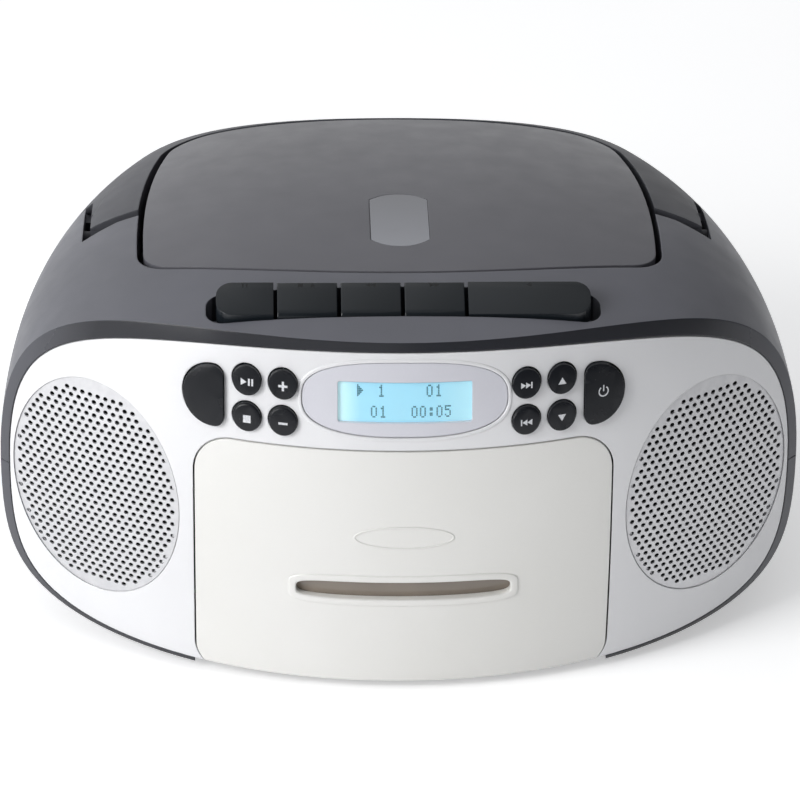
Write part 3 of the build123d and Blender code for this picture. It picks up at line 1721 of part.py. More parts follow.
section_radii = [antenna_radius]
for section in range(2):
    section_radii.append(section_radii[-1] - antenna_wall - pin_play)
tube_start_x = antenna_elbow_x - antenna_radius - seam
stub_end_x = tube_start_x - antenna_stub
with BuildPart() as antenna_section_1:
    eye_low = antenna_z - elbow_half_eye
    eye_high = antenna_z + elbow_half_eye
    add(rod_x(antenna_end_x, tube_start_x, antenna_y, antenna_z, antenna_radius))
    add(rod_z(antenna_elbow_x, antenna_y, eye_low, eye_high, antenna_radius))
    add(
        block(
            tube_start_x - 1,
            antenna_elbow_x,
            antenna_y - antenna_radius,
            antenna_y + antenna_radius,
            eye_low,
            eye_high,
        )
    )
    bore_radius = section_radii[1] + pin_play
    add(rod_x(antenna_end_x - 1, stub_end_x, antenna_y, antenna_z, bore_radius), mode=Mode.SUBTRACT)
    eye_bore = rod_z(antenna_elbow_x, antenna_y, 0, far, elbow_pin_radius + pin_play)
    add(eye_bore, mode=Mode.SUBTRACT)
save(antenna_section_1, "antenna_section_1")

with BuildPart() as antenna_section_2:
    section_start_x = stub_end_x - seam
    add(rod_x(antenna_end_x, section_start_x, antenna_y, antenna_z, section_radii[1]))
    bore_radius = section_radii[2] + pin_play
    bore_end_x = section_start_x - antenna_stub / 2
    add(rod_x(antenna_end_x - 1, bore_end_x, antenna_y, antenna_z, bore_radius), mode=Mode.SUBTRACT)
save(antenna_section_2, "antenna_section_2")

with BuildPart() as antenna_section_3:
    tip_start_x = antenna_end_x - seam
    tip_end_x = tip_start_x - antenna_tip_length
    add(rod_x(tip_start_x, bore_end_x - seam, antenna_y, antenna_z, section_radii[2]))
    add(rod_x(tip_end_x, tip_start_x, antenna_y, antenna_z, antenna_radius))
save(antenna_section_3, "antenna_section_3")
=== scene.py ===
from math import atan, cos, pi, radians, sin, sqrt

import bmesh
import bpy
from mathutils import Matrix, Vector


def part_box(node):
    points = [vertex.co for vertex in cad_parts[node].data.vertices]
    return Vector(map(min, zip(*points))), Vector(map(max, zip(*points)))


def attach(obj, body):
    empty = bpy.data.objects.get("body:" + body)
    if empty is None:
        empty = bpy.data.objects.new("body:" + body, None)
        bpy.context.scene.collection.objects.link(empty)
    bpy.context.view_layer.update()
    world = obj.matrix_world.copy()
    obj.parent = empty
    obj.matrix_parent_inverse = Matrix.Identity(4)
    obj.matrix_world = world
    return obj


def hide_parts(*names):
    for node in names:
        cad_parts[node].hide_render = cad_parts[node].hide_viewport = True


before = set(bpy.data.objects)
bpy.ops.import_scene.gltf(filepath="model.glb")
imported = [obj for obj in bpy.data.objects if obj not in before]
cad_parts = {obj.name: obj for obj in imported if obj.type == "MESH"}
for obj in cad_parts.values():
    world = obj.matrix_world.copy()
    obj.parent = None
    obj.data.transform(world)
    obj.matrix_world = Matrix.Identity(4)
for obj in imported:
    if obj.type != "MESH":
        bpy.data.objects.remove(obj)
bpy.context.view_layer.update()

# Camera: it stands in front of the player, a little to its left, and looks down at it by thirty
# degrees from about 1.8 m away with a long lens.
camera_distance = 1.8455
camera_azimuth = radians(-1.9)
camera_elevation = radians(30.0)
camera_roll = radians(0.7)
picture_width = 800         # pixels
sensor_width = 36.0
camera_focal = 4913.7       # in pixels
axis_right = 1.0            # the aim is this many pixels right of the lens axis
axis_up = 67.4              # and this many above it
target = Vector((0.0, -0.0484, 0.060))

back = Vector((
    sin(camera_azimuth) * cos(camera_elevation),
    -cos(camera_azimuth) * cos(camera_elevation),
    sin(camera_elevation),
))
level = Vector((cos(camera_azimuth), sin(camera_azimuth), 0.0))
upright = back.cross(level)
right = level * cos(camera_roll) + upright * sin(camera_roll)
up = upright * cos(camera_roll) - level * sin(camera_roll)
position = target + back * camera_distance
tilt = atan(axis_up / camera_focal)
back, up = back * cos(tilt) - up * sin(tilt), up * cos(tilt) + back * sin(tilt)
turn = atan(axis_right / camera_focal)
back, right = back * cos(turn) - right * sin(turn), right * cos(turn) + back * sin(turn)
camera = bpy.data.objects.new("camera", bpy.data.cameras.new("camera"))
camera.matrix_world = Matrix((
    (right.x, up.x, back.x, position.x),
    (right.y, up.y, back.y, position.y),
    (right.z, up.z, back.z, position.z),
    (0.0, 0.0, 0.0, 1.0),
))
camera.data.sensor_width = sensor_width
camera.data.lens = camera_focal / picture_width * sensor_width
camera.data.clip_start = 0.05
bpy.context.scene.collection.objects.link(camera)
bpy.context.scene.camera = camera
bpy.context.scene.view_settings.view_transform = "Standard"


# Studio lamps and surround: a softbox at the upper left, a large weak one overhead and a little
# fill in front. The surround is white paper, which gloss sees brighter at the back left than
# overhead and at the right. The camera, and what it sees through clear plastic, gets plain white.
def feed(node, inputs):
    """Give a node's inputs their values or links."""
    for key, value in inputs.items():
        if isinstance(value, bpy.types.NodeSocket):
            node.id_data.links.new(value, node.inputs[key])
        else:
            node.inputs[key].default_value = value


def add_node(tree, kind, inputs=None, output=0, **settings):
    """Add one node with its settings and inputs, and give back one of its outputs."""
    made = tree.nodes.new(kind)
    for key, value in settings.items():
        setattr(made, key, value)
    feed(made, inputs or {})
    return made.outputs[output]


def color(code):
    """The linear colour of an sRGB hex code."""
    parts = [int(code[i:i + 2], 16) / 255 for i in (1, 3, 5)]
    return tuple(c / 12.92 if c <= 0.04045 else ((c + 0.055) / 1.055) ** 2.4 for c in parts) + (1.0,)


softboxes = (
    ("key_softbox", (-1.40, -1.00, 1.00), (0, -0.02, 0.06), (0.9, 1.1), 23),
    ("overhead_softbox", (-0.5, 0.2, 2.4), (0, 0, 0.1), (3.0, 3.0), 8),
    ("front_fill", (-0.6, -2.1, 0.7), (0, 0, 0.07), (1.4, 0.9), 1.5),
)
for name, place, aim, (width, height), power in softboxes:
    light = bpy.data.lights.new(name, "AREA")
    light.shape = "RECTANGLE"
    light.size = width
    light.size_y = height
    light.energy = power
    lamp = bpy.data.objects.new(name, light)
    lamp.location = place
    lamp.rotation_mode = "QUATERNION"
    lamp.rotation_quaternion = (Vector(aim) - Vector(place)).to_track_quat("-Z", "Y")
    bpy.context.scene.collection.objects.link(lamp)

window_way = (-0.93, 0.0, 0.37)         # daylight comes from this side
sheen_way = (-0.70, 0.66, -0.28)        # gloss mirrors its brightest paper this way
world = bpy.data.worlds.new("studio")
bpy.context.scene.world = world
world.use_nodes = True
tree = world.node_tree
surround = tree.nodes["Background"]
toward = add_node(tree, "ShaderNodeTexCoord", output="Generated")
window_side = add_node(tree, "ShaderNodeVectorMath", {0: toward, 1: window_way}, 1, operation="DOT_PRODUCT")
daylight = add_node(tree, "ShaderNodeMapRange", {0: window_side, 1: -1.0, 2: 1.0, 3: 0.06, 4: 0.56})
feed(surround, {"Color": color("#fafcff"), "Strength": daylight})
bright_side = add_node(tree, "ShaderNodeVectorMath", {0: toward, 1: sheen_way}, 1, operation="DOT_PRODUCT")
sweep = add_node(tree, "ShaderNodeMapRange", {0: bright_side, 1: -0.25, 2: 0.75, 3: 0.06, 4: 1.0})
in_gloss = add_node(tree, "ShaderNodeBackground", {"Color": color("#ffffff"), "Strength": sweep})
paper_white = add_node(tree, "ShaderNodeBackground", {"Color": color("#ffffff"), "Strength": 1.0})
path = tree.nodes.new("ShaderNodeLightPath")
direct = add_node(tree, "ShaderNodeMath", {
    0: path.outputs["Is Camera Ray"], 1: path.outputs["Is Transmission Ray"],
}, operation="ADD", use_clamp=True)
glossy = add_node(tree, "ShaderNodeMixShader", {
    0: path.outputs["Is Glossy Ray"], 1: surround.outputs[0], 2: in_gloss,
})
chosen = add_node(tree, "ShaderNodeMixShader", {0: direct, 1: glossy, 2: paper_white})
feed(tree.nodes["World Output"], {"Surface": chosen})

# Floor: a sweep of matt white background paper, rolled out under the player. Its uncoated face
# gives faint mottling and no gloss, and it is lifted a little for the eye to meet the surround.
mm = 0.001
floor_size = 14.0
floor_lift = 0.40
paper_mottle = 200.0        # mm
floor_mesh = bpy.data.meshes.new("floor")
work = bmesh.new()
bmesh.ops.create_grid(work, x_segments=1, y_segments=1, size=floor_size / 2)
work.to_mesh(floor_mesh)
work.free()
floor = bpy.data.objects.new("floor", floor_mesh)
bpy.context.scene.collection.objects.link(floor)


def start_material(name):
    """A material with its node tree, its shader and the object's own coordinates."""
    material = bpy.data.materials.new(name)
    material.use_nodes = True
    tree = material.node_tree
    place = add_node(tree, "ShaderNodeTexCoord", output="Object")
    return material, tree, tree.nodes["Principled BSDF"], place


def two_tone(name, tone, deep_tone, size, roughness, detail=2.0, low=0.0, high=1.0):
    """A finish that wanders between two tones in patches of a size in millimetres."""
    material, tree, shader, place = start_material(name)
    patches = add_node(tree, "ShaderNodeTexNoise", {
        "Vector": place, "Scale": 1 / (size * mm), "Detail": detail,
    })
    share = add_node(tree, "ShaderNodeMapRange", {0: patches, 1: low, 2: high, 3: 0.0, 4: 1.0})
    base = add_node(
        tree, "ShaderNodeMix", {0: share, 6: color(tone), 7: color(deep_tone)}, 2, data_type="RGBA",
    )
    feed(shader, {"Base Color": base, "Roughness": roughness})
    return material, tree, shader, place


paper, tree, shader, place = two_tone("floor_paper", "#fbfbfb", "#f8f8f8", paper_mottle, 0.9, 2.0, 0.3, 0.7)
path = tree.nodes.new("ShaderNodeLightPath")
seen = add_node(tree, "ShaderNodeMath", {
    0: path.outputs["Is Camera Ray"], 1: path.outputs["Is Transmission Ray"],
}, operation="ADD", use_clamp=True)
seen = add_node(tree, "ShaderNodeMath", {
    0: seen, 1: path.outputs["Is Glossy Ray"],
}, operation="ADD", use_clamp=True)
lift = add_node(tree, "ShaderNodeMath", {0: seen, 1: floor_lift}, operation="MULTIPLY")
feed(shader, {"Specular IOR Level": 0.1, "Emission Color": color("#ffffff"), "Emission Strength": lift})
floor.data.materials.append(paper)


# Grey case, lid and handle: injection moulded ABS, screwed together from below. The satin finish
# comes from a spark-eroded tool, and the rim round the front panel is polished in it, so the rim
# is glossier. The case's faces that look forward, the rim round the front panel, are also painted
# darker: painted shade. The real grain is about 0.1 mm; it is drawn coarser so that it shows.
cloud_size = 62.5           # mm, slow drift of the tone
smear_size = 11.11          # mm, patches of handling that change the gloss
abs_grain = 0.3846          # mm
rim_gloss = 0.2


def moulded(name, tone, deep_tone, roughness, grain=abs_grain, relief=0.02, edge=0.4):
    """Moulded plastic: cloudy tone, fine grain in relief and in gloss, and rounded edges, in mm."""
    material, tree, shader, place = two_tone(name, tone, deep_tone, cloud_size, roughness, 3.0, 0.35, 0.65)
    fine = add_node(tree, "ShaderNodeTexNoise", {"Vector": place, "Scale": 1 / (grain * mm), "Detail": 1.0})
    smears = add_node(tree, "ShaderNodeTexNoise", {
        "Vector": place, "Scale": 1 / (smear_size * mm), "Detail": 4.0,
    })
    gloss = add_node(tree, "ShaderNodeMapRange", {
        0: smears, 1: 0.3, 2: 0.7, 3: roughness - 0.04, 4: roughness + 0.04,
    })
    soft_edge = add_node(tree, "ShaderNodeBevel", {"Radius": edge * mm}, samples=4)
    grained = add_node(tree, "ShaderNodeBump", {"Height": fine, "Distance": relief * mm, "Normal": soft_edge})
    feed(shader, {"Roughness": gloss, "Normal": grained})
    return material


def dress(material, *nodes):
    """Give CAD nodes their material."""
    for name in nodes:
        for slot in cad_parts[name].material_slots:
            slot.link = "OBJECT"
            slot.material = material


case_grey = moulded("case_satin_abs", "#66676f", "#616269", 0.44, edge=0.7)
tree = case_grey.node_tree
shader = tree.nodes["Principled BSDF"]
normal = add_node(tree, "ShaderNodeTexCoord", output="Normal")
facing = add_node(tree, "ShaderNodeSeparateXYZ", {"Vector": normal}, "Y")
# polished marks the faces that look forward, the rim round the front panel: they get painted shade (a darker
# colour) and a glossier finish.
polished = add_node(tree, "ShaderNodeMapRange", {0: facing, 1: -0.78, 2: -0.62, 3: 1.0, 4: 0.0})
plain = shader.inputs["Base Color"].links[0].from_socket
satin = shader.inputs["Roughness"].links[0].from_socket
# Painted shade: the forward faces are painted the darker #2c2d32.
painted_front_shade = add_node(tree, "ShaderNodeMix", {0: polished, 6: plain, 7: color("#2c2d32")}, 2, data_type="RGBA")
gloss = add_node(tree, "ShaderNodeMix", {0: polished, 2: satin, 3: rim_gloss})
feed(shader, {"Base Color": painted_front_shade, "Roughness": gloss})
dress(case_grey, "top_case", "bottom_case")
dress(moulded("lid_satin_abs", "#636369", "#5e5e64", 0.38, edge=0.7), "cd_lid")
dress(moulded("handle_satin_abs", "#525359", "#4e4f54", 0.54, edge=0.7), "handle", "handle_underside")


# Front panel and cassette door: ABS mouldings sprayed pearl white under a clear coat, the door a
# little warmer because it is sprayed in a batch of its own. The eye sees a soft sheen with faint
# orange peel and tiny flakes. Real flakes are about 0.03 mm; they are drawn larger to show.
paint_drift = 111.1         # mm
flake_size = 0.1923         # mm
peel_size = 2.381           # mm


def pearl(name, tone, deep_tone):
    """Pearl paint: flakes that catch the light below a clear coat with faint orange peel."""
    material, tree, shader, place = two_tone(name, tone, deep_tone, paint_drift, 0.34, 3.0, 0.35, 0.65)
    base = shader.inputs["Base Color"].links[0].from_socket
    flakes = add_node(tree, "ShaderNodeTexVoronoi", {
        "Vector": place, "Scale": 1 / (flake_size * mm),
    }, "Color")
    sparkle = add_node(tree, "ShaderNodeMapRange", {0: flakes, 1: 0.75, 2: 1.0, 3: 0.0, 4: 0.16})
    glitter = add_node(tree, "ShaderNodeMix", {0: sparkle, 6: base, 7: color("#ffffff")}, 2, data_type="RGBA")
    peel = add_node(tree, "ShaderNodeTexNoise", {
        "Vector": place, "Scale": 1 / (peel_size * mm), "Detail": 2.0,
    })
    soft_edge = add_node(tree, "ShaderNodeBevel", {"Radius": 0.5 * mm}, samples=4)
    skin = add_node(tree, "ShaderNodeBump", {"Height": peel, "Distance": 0.006 * mm, "Normal": soft_edge})
    feed(shader, {
        "Base Color": glitter, "Normal": skin, "Metallic": 0.08, "Coat Weight": 0.35, "Coat Roughness": 0.18,
    })
    return material


panel_white = pearl("panel_pearl_paint", "#eeeef0", "#eaeaec")
dress(panel_white, "front_panel")
door_white = pearl("door_pearl_paint", "#efeeeb", "#ebeae6")
dress(door_white, "cassette_door")

# Loudspeaker grilles: aluminium sheet, punched with small round holes in rows, pressed to the
# curve of the front and clear lacquered. Light catches the lacquer between the black holes.
plan_radius = 205.0         # curve of the front seen from above
profile_radius = 245.0      # and seen from the side
bulge_z = 57.0
axis_y = 90.0
speaker_x = 112.8
speaker_z = 69.0
grille_across = 30.9
grille_upright = 42.6
grille_inset = 0.4
grille_sheet = 0.8
grille_border = 1.5         # unpunched edge
rolling_marks = 3.333
lacquer_ripple = 1.111
hole_pitch = 2.85
hole_radius = 0.86
hole_sides = 10


def front_point(x, z, inset=0.0):
    """A point of the bulged front in metres, inset behind its face."""
    ring = plan_radius - (profile_radius - sqrt(profile_radius**2 - (z - bulge_z) ** 2)) - inset
    return Vector((x * mm, (axis_y - sqrt(ring**2 - x**2)) * mm, z * mm))


def circle(x, z, radius, sides):
    """A closed loop of points."""
    angles = [2 * pi * i / sides for i in range(sides)]
    return [(x + radius * cos(angle), z + radius * sin(angle)) for angle in angles]


def oval(x, z, across, upright, sides):
    """A closed loop round an ellipse."""
    outline = []
    for i in range(sides):
        angle = 2 * pi * i / sides
        outline.append((x + across * cos(angle), z + upright * sin(angle)))
    return outline


def made_piece(name, body, material, work, sharp=30.0):
    """A mesh object with outward faces, smooth up to the sharp angle, riding on a body."""
    bmesh.ops.recalc_face_normals(work, faces=work.faces)
    mesh = bpy.data.meshes.new(name)
    work.to_mesh(mesh)
    work.free()
    mesh.polygons.foreach_set("use_smooth", [True] * len(mesh.polygons))
    mesh.set_sharp_from_angle(angle=radians(sharp))
    piece = bpy.data.objects.new(name, mesh)
    bpy.context.scene.collection.objects.link(piece)
    mesh.materials.append(material)
    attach(piece, body)
    return piece


def plate(name, body, material, loops, surface, near, away, grid=0.0, soften=0.0, sharp=30.0):
    """A sheet between two depths of a surface, inside the first closed loop and outside the rest."""
    work = bmesh.new()
    for loop in loops:
        ring = [work.verts.new((u, v, near)) for u, v in loop]
        for a, b in zip(ring, ring[1:] + ring[:1]):
            work.edges.new((a, b))
    bmesh.ops.triangle_fill(work, edges=work.edges[:], use_beauty=True, normal=(0, 0, 1))
    if grid:
        for axis in (0, 1):
            places = [vert.co[axis] for vert in work.verts]
            cut_at = min(places) + grid
            while cut_at < max(places):
                normal = Vector((1 - axis, axis, 0))
                everything = work.verts[:] + work.edges[:] + work.faces[:]
                bmesh.ops.bisect_plane(work, geom=everything, plane_co=normal * cut_at, plane_no=normal)
                cut_at += grid
    made = bmesh.ops.extrude_face_region(work, geom=work.faces[:])
    for item in made["geom"]:
        if isinstance(item, bmesh.types.BMVert):
            item.co.z = away
    bmesh.ops.recalc_face_normals(work, faces=work.faces)
    if soften:
        rims = []
        for edge in work.edges:
            steep = [face for face in edge.link_faces if abs(face.normal.z) < 0.5]
            if len(steep) == 1 and all(abs(vert.co.z - near) < 1e-4 for vert in edge.verts):
                rims.append(edge)
        bmesh.ops.bevel(
            work, geom=rims, offset=soften, segments=3, profile=0.5, affect="EDGES", material=-1,
        )
    for vert in work.verts:
        vert.co = surface(vert.co.x, vert.co.y, vert.co.z)
    return made_piece(name, body, material, work, sharp)


grille_metal, tree, shader, place = two_tone(
    "grille_lacquered_aluminium", "#d9d9db", "#cfcfd2", rolling_marks, 0.43, 3.0, 0.3, 0.7
)
rubbed = add_node(tree, "ShaderNodeTexNoise", {
    "Vector": place, "Scale": 1 / (lacquer_ripple * mm), "Detail": 2.0,
})
feed(shader, {
    "Roughness": add_node(tree, "ShaderNodeMapRange", {0: rubbed, 1: 0.3, 2: 0.7, 3: 0.36, 4: 0.5}),
    "Metallic": 0.45,
    "Normal": add_node(tree, "ShaderNodeBevel", {"Radius": 0.2 * mm}, samples=4),
})
hole_places = []
row_height = hole_pitch * sqrt(3) / 2
for row in range(-15, 16):
    for column in range(-12, 13):
        x = (column + (row % 2) / 2) * hole_pitch
        z = row * row_height
        reach = sqrt((x / (grille_across - grille_border)) ** 2 + (z / (grille_upright - grille_border)) ** 2)
        if reach < 1:
            hole_places.append((x, z))
for side, node in ((-1, "grille_left"), (1, "grille_right")):
    loops = [oval(side * speaker_x, speaker_z, grille_across, grille_upright, 96)]
    for x, z in hole_places:
        loops.append(circle(side * speaker_x + side * x, speaker_z + z, hole_radius, hole_sides))
    sheet = plate(
        node + "_punched", "case", grille_metal, loops, front_point, grille_inset, grille_inset + grille_sheet
    )
    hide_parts(node)

# Grille cloth: a plain black woven polyester, stretched and glued behind each grille, so that
# only black shows through the holes. Its threads are a third of a millimetre apart.
cloth_behind = 1.6
cloth_thickness = 0.3
cloth_margin = 1.8
thread_pitch = 0.3491       # mm
wave_length = 2 * pi / 20    # of the wave texture at a scale of one
grille_cloth, tree, shader, place = start_material("grille_backing_cloth")
weave = add_node(tree, "ShaderNodeTexWave", {
    "Vector": place, "Scale": wave_length / (thread_pitch * mm), "Distortion": 1.5,
}, "Fac")
threads = add_node(
    tree, "ShaderNodeMix", {0: weave, 6: color("#0c0c0d"), 7: color("#161617")}, 2, data_type="RGBA",
)
feed(shader, {"Base Color": threads, "Roughness": 0.95})
for side, name in ((-1, "grille_cloth_left"), (1, "grille_cloth_right")):
    half_width, half_height = grille_across - cloth_margin, grille_upright - cloth_margin
    outline = oval(side * speaker_x, speaker_z, half_width, half_height, 72)
    cloth = plate(
        name, "case", grille_cloth, [outline], front_point, cloth_behind, cloth_behind + cloth_thickness,
        grid=6.0,
    )

# Front buttons: gloss black ABS caps on sprung stems. The polished tool gives a deep, slightly
# mirror-like black with bright rounded edges.
button_edge = 0.9
sharp_corner = 30.0         # degrees
stand_out = 1.0             # what stands this far out of the panel is the cap
button_black = moulded("button_gloss_abs", "#191b20", "#16181c", 0.26, relief=0.006)
feed(button_black.node_tree.nodes["Principled BSDF"], {"Specular IOR Level": 0.32})


def softened(node, body, material, bevels):
    """A copy of a CAD piece with rounded edges; each bevel is a test, a radius and its steps."""
    work = bmesh.new()
    work.from_mesh(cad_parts[node].data)
    bmesh.ops.remove_doubles(work, verts=work.verts, dist=0.005 * mm)
    bmesh.ops.dissolve_limit(work, angle_limit=radians(1.0), verts=work.verts, edges=work.edges)
    for chosen, radius, steps in bevels:
        rims = []
        for edge in work.edges:
            corner = edge.is_manifold and edge.calc_face_angle() > radians(sharp_corner)
            if corner and all(chosen(vert.co / mm) for vert in edge.verts):
                rims.append(edge)
        bmesh.ops.bevel(
            work, geom=rims, offset=radius * mm, segments=steps, profile=0.5, affect="EDGES",
            material=-1, clamp_overlap=True,
        )
    piece = made_piece(node + "_moulding", body, material, work)
    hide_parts(node)


def above_panel(place):
    """Whether a point in millimetres stands out of the front panel."""
    return place.y < front_point(place.x, place.z).y / mm - stand_out


for node in (
    "button_play_pause", "button_folder_up", "button_stop", "button_folder_down", "button_skip_forward",
    "button_up", "button_skip_back", "button_down", "button_mode", "button_power",
):
    softened(node, node + "_body", button_black, [(above_panel, button_edge, 4)])

# Marks on the buttons: pale pad-printed ink with the usual transport signs, a little rubbed by
# fingers. It stands out of its cap by a few hundredths of a millimetre.
button_rise = 1.8
mark_relief = 0.05
mark_depth = 0.3
print_wear = 0.6667         # mm
print_white, tree, shader, place = two_tone(
    "printed_marks", "#e4e5e8", "#c9cbd0", print_wear, 0.5, 2.0, 0.35, 0.7
)


def bar(x, z, width, height):
    """A rectangle round a middle."""
    return [
        (x - width / 2, z - height / 2), (x + width / 2, z - height / 2),
        (x + width / 2, z + height / 2), (x - width / 2, z + height / 2),
    ]


def cross(x, z, span, thin):
    """A plus sign."""
    a, b = thin / 2, span / 2
    corners = (
        (-a, -b), (a, -b), (a, -a), (b, -a), (b, a), (a, a),
        (a, b), (-a, b), (-a, a), (-b, a), (-b, -a), (-a, -a),
    )
    return [(x + across, z + upward) for across, upward in corners]


def arrow(x, z, size, way):
    """A triangle that points to the left or right."""
    blunt, tip, half = x - way * size / 2, x + way * size / 2, size * 0.6
    return [(blunt, z - half), (tip, z), (blunt, z + half)]


def wedge(x, z, size, way):
    """A triangle that points up or down."""
    blunt, tip, half = z - way * size / 2, z + way * size / 2, size * 0.6
    return [(x - half, blunt), (x, tip), (x + half, blunt)]


def arc_band(x, z, radius, width, start, end, steps=20):
    """Part of a ring."""
    outer = []
    inner = []
    for i in range(steps + 1):
        angle = radians(start + (end - start) * i / steps)
        outer.append((x + (radius + width / 2) * cos(angle), z + (radius + width / 2) * sin(angle)))
        inner.append((x + (radius - width / 2) * cos(angle), z + (radius - width / 2) * sin(angle)))
    return outer + inner[::-1]


left_outer, left_inner, right_inner, right_outer = -56.9, -43.9, 43.9, 56.9
upper, lower = 124.9, 111.6         # middles of the marks in the two rows
power_x, power_z = 72.2, 118.6
button_marks = {
    "button_play_pause": [
        arrow(left_outer - 1.1, upper, 2.1, 1),
        bar(left_outer + 0.8, upper, 0.65, 2.5), bar(left_outer + 2.0, upper, 0.65, 2.5),
    ],
    "button_folder_up": [cross(left_inner, upper, 3.3, 0.8)],
    "button_stop": [bar(left_outer, lower, 2.7, 2.7)],
    "button_folder_down": [bar(left_inner, lower - 0.1, 3.3, 0.8)],
    "button_skip_forward": [
        arrow(right_inner - 1.2, upper, 1.8, 1), arrow(right_inner + 0.6, upper, 1.8, 1),
        bar(right_inner + 1.8, upper, 0.5, 2.2),
    ],
    "button_skip_back": [
        arrow(right_inner + 1.2, lower, 1.8, -1), arrow(right_inner - 0.6, lower, 1.8, -1),
        bar(right_inner - 1.8, lower, 0.5, 2.2),
    ],
    "button_up": [wedge(right_outer, upper, 2.4, 1)],
    "button_down": [wedge(right_outer, lower, 2.4, -1)],
    "button_power": [arc_band(power_x, power_z, 1.7, 0.45, 125, 415), bar(power_x, power_z + 1.1, 0.45, 2.2)],
}
for node, shapes in button_marks.items():
    for index, shape in enumerate(shapes):
        mark = plate(
            f"{node}_mark_{index}", node + "_body", print_white, [shape], front_point,
            -button_rise - mark_relief, -button_rise + mark_depth,
        )

# Display fascia: a clipped-in ABS moulding in pale lilac lacquer, with a window for the screen.
# The front panel has a raised, softened bead round it, in its own paint.
fascia_half = 37.2
fascia_up = 13.4
fascia_z = 121.0
fascia_power = 2.7
fascia_gap = 0.2
fascia_back = 1.4
screen_half = 24.2
screen_up = 7.3
screen_z = 120.1
screen_corner = 0.8
rim_offset = 0.75


def superellipse(x, z, half_width, half_height, power, count):
    """A closed rounded outline."""
    outline = []
    for i in range(count):
        angle = 2 * pi * i / count
        c, s = cos(angle), sin(angle)
        outline.append((
            x + half_width * abs(c) ** (2 / power) * (1 if c >= 0 else -1),
            z + half_height * abs(s) ** (2 / power) * (1 if s >= 0 else -1),
        ))
    return outline


def rounded_bar(x, z, half_width, half_height, corner, steps=5):
    """A rectangle with round corners."""
    outline = []
    for sx, sz, start in ((1, 1, 0), (-1, 1, 90), (-1, -1, 180), (1, -1, 270)):
        for i in range(steps + 1):
            angle = radians(start + 90 * i / steps)
            outline.append((
                x + sx * (half_width - corner) + corner * cos(angle),
                z + sz * (half_height - corner) + corner * sin(angle),
            ))
    return outline


def screen_outline(grow):
    """The window of the screen, grown all round."""
    return rounded_bar(0, screen_z, screen_half + grow, screen_up + grow, screen_corner)


def bead(name, body, material, across, upright, middle_z, power, width, height):
    """A raised, softened bead round an oval place of the front."""
    outer = superellipse(0, middle_z, across + width / 2, upright + width / 2, power, 120)
    inner = superellipse(0, middle_z, across - width / 2, upright - width / 2, power, 120)
    return plate(
        name, body, material, [outer, inner], front_point, -height, 0.2, soften=height * 0.9, sharp=50.0,
    )


fascia_paint = pearl("fascia_lilac_paint", "#dcdce4", "#d8d8e0")
fascia_edge = superellipse(0, fascia_z, fascia_half - fascia_gap, fascia_up - fascia_gap, fascia_power, 96)
fascia = plate(
    "display_fascia", "case", fascia_paint, [fascia_edge, screen_outline(0)], front_point, 0.1, fascia_back,
    grid=3.0,
)
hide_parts("display_lens")
rim_bead = bead(
    "display_rim", "case", panel_white, fascia_half + rim_offset, fascia_up + rim_offset,
    fascia_z, fascia_power, 1.3, 0.35,
)

# Liquid crystal screen: a glass cell with a blue-white backlight, clipped into a white moulded
# frame. The light is brightest at the left edge, where the lamp is, and the cell grid just shows.
screen_depth = 1.3
cell_size = 0.30303         # mm
lcd_back, tree, shader, place = start_material("lcd_backlight")
across = add_node(tree, "ShaderNodeSeparateXYZ", {"Vector": place}, "X")
lamp_side = add_node(tree, "ShaderNodeMapRange", {0: across, 1: -24 * mm, 2: -16 * mm, 3: 1.0, 4: 0.0})
far_side = add_node(tree, "ShaderNodeMapRange", {0: across, 1: 10 * mm, 2: 24 * mm, 3: 0.0, 4: 0.6})
cells = add_node(tree, "ShaderNodeTexChecker", {"Vector": place, "Scale": 1 / (cell_size * mm)}, "Fac")
cell_edge = add_node(tree, "ShaderNodeMapRange", {0: cells, 1: 0.0, 2: 1.0, 3: 0.0, 4: 0.05})
tone = color("#a9e2f6")
for share, other in ((lamp_side, "#d8fbff"), (far_side, "#c9f4fb"), (cell_edge, "#6fb7cc")):
    tone = add_node(tree, "ShaderNodeMix", {0: share, 6: tone, 7: color(other)}, 2, data_type="RGBA")
feed(shader, {"Base Color": tone, "Emission Color": tone, "Emission Strength": 0.14, "Roughness": 0.3})
screen = plate(
    "lcd_screen", "case", lcd_back, [screen_outline(0.3)], front_point, screen_depth, screen_depth + 0.1,
    grid=4.0,
)
dress(moulded("lcd_frame_abs", "#c8ccd0", "#bcc0c4", 0.4), "lcd_module")

# Figures on the screen: square dots of liquid crystal between the glasses, which turn dark blue
# green where they are driven. Two lines show a play sign, a track number and a time.
lcd_ink, tree, shader, place = start_material("lcd_segments")
dots = add_node(tree, "ShaderNodeTexChecker", {"Vector": place, "Scale": 1 / (cell_size * mm)}, "Fac")
dot_share = add_node(tree, "ShaderNodeMapRange", {0: dots, 1: 0.0, 2: 1.0, 3: 0.0, 4: 0.3})
dark = add_node(
    tree, "ShaderNodeMix", {0: dot_share, 6: color("#3f7683"), 7: color("#4b8390")}, 2, data_type="RGBA",
)
feed(shader, {"Base Color": dark, "Roughness": 0.6})
dot_size = 0.5
dot_step = 0.55
dot_relief = 0.04
line_stretch = 1.12         # dots are a little further apart upwards
digit_rows = {
    "0": ("0110", "1001", "1001", "1001", "1001", "1001", "0110"),
    "1": ("0010", "0110", "0010", "0010", "0010", "0010", "0111"),
    "5": ("1111", "1000", "1110", "0001", "0001", "1001", "0110"),
    ":": ("0000", "0110", "0110", "0000", "0110", "0110", "0000"),
    ">": ("1000", "1100", "1110", "1111", "1110", "1100", "1000"),
}
top_line, low_line = 3.9, -3.6
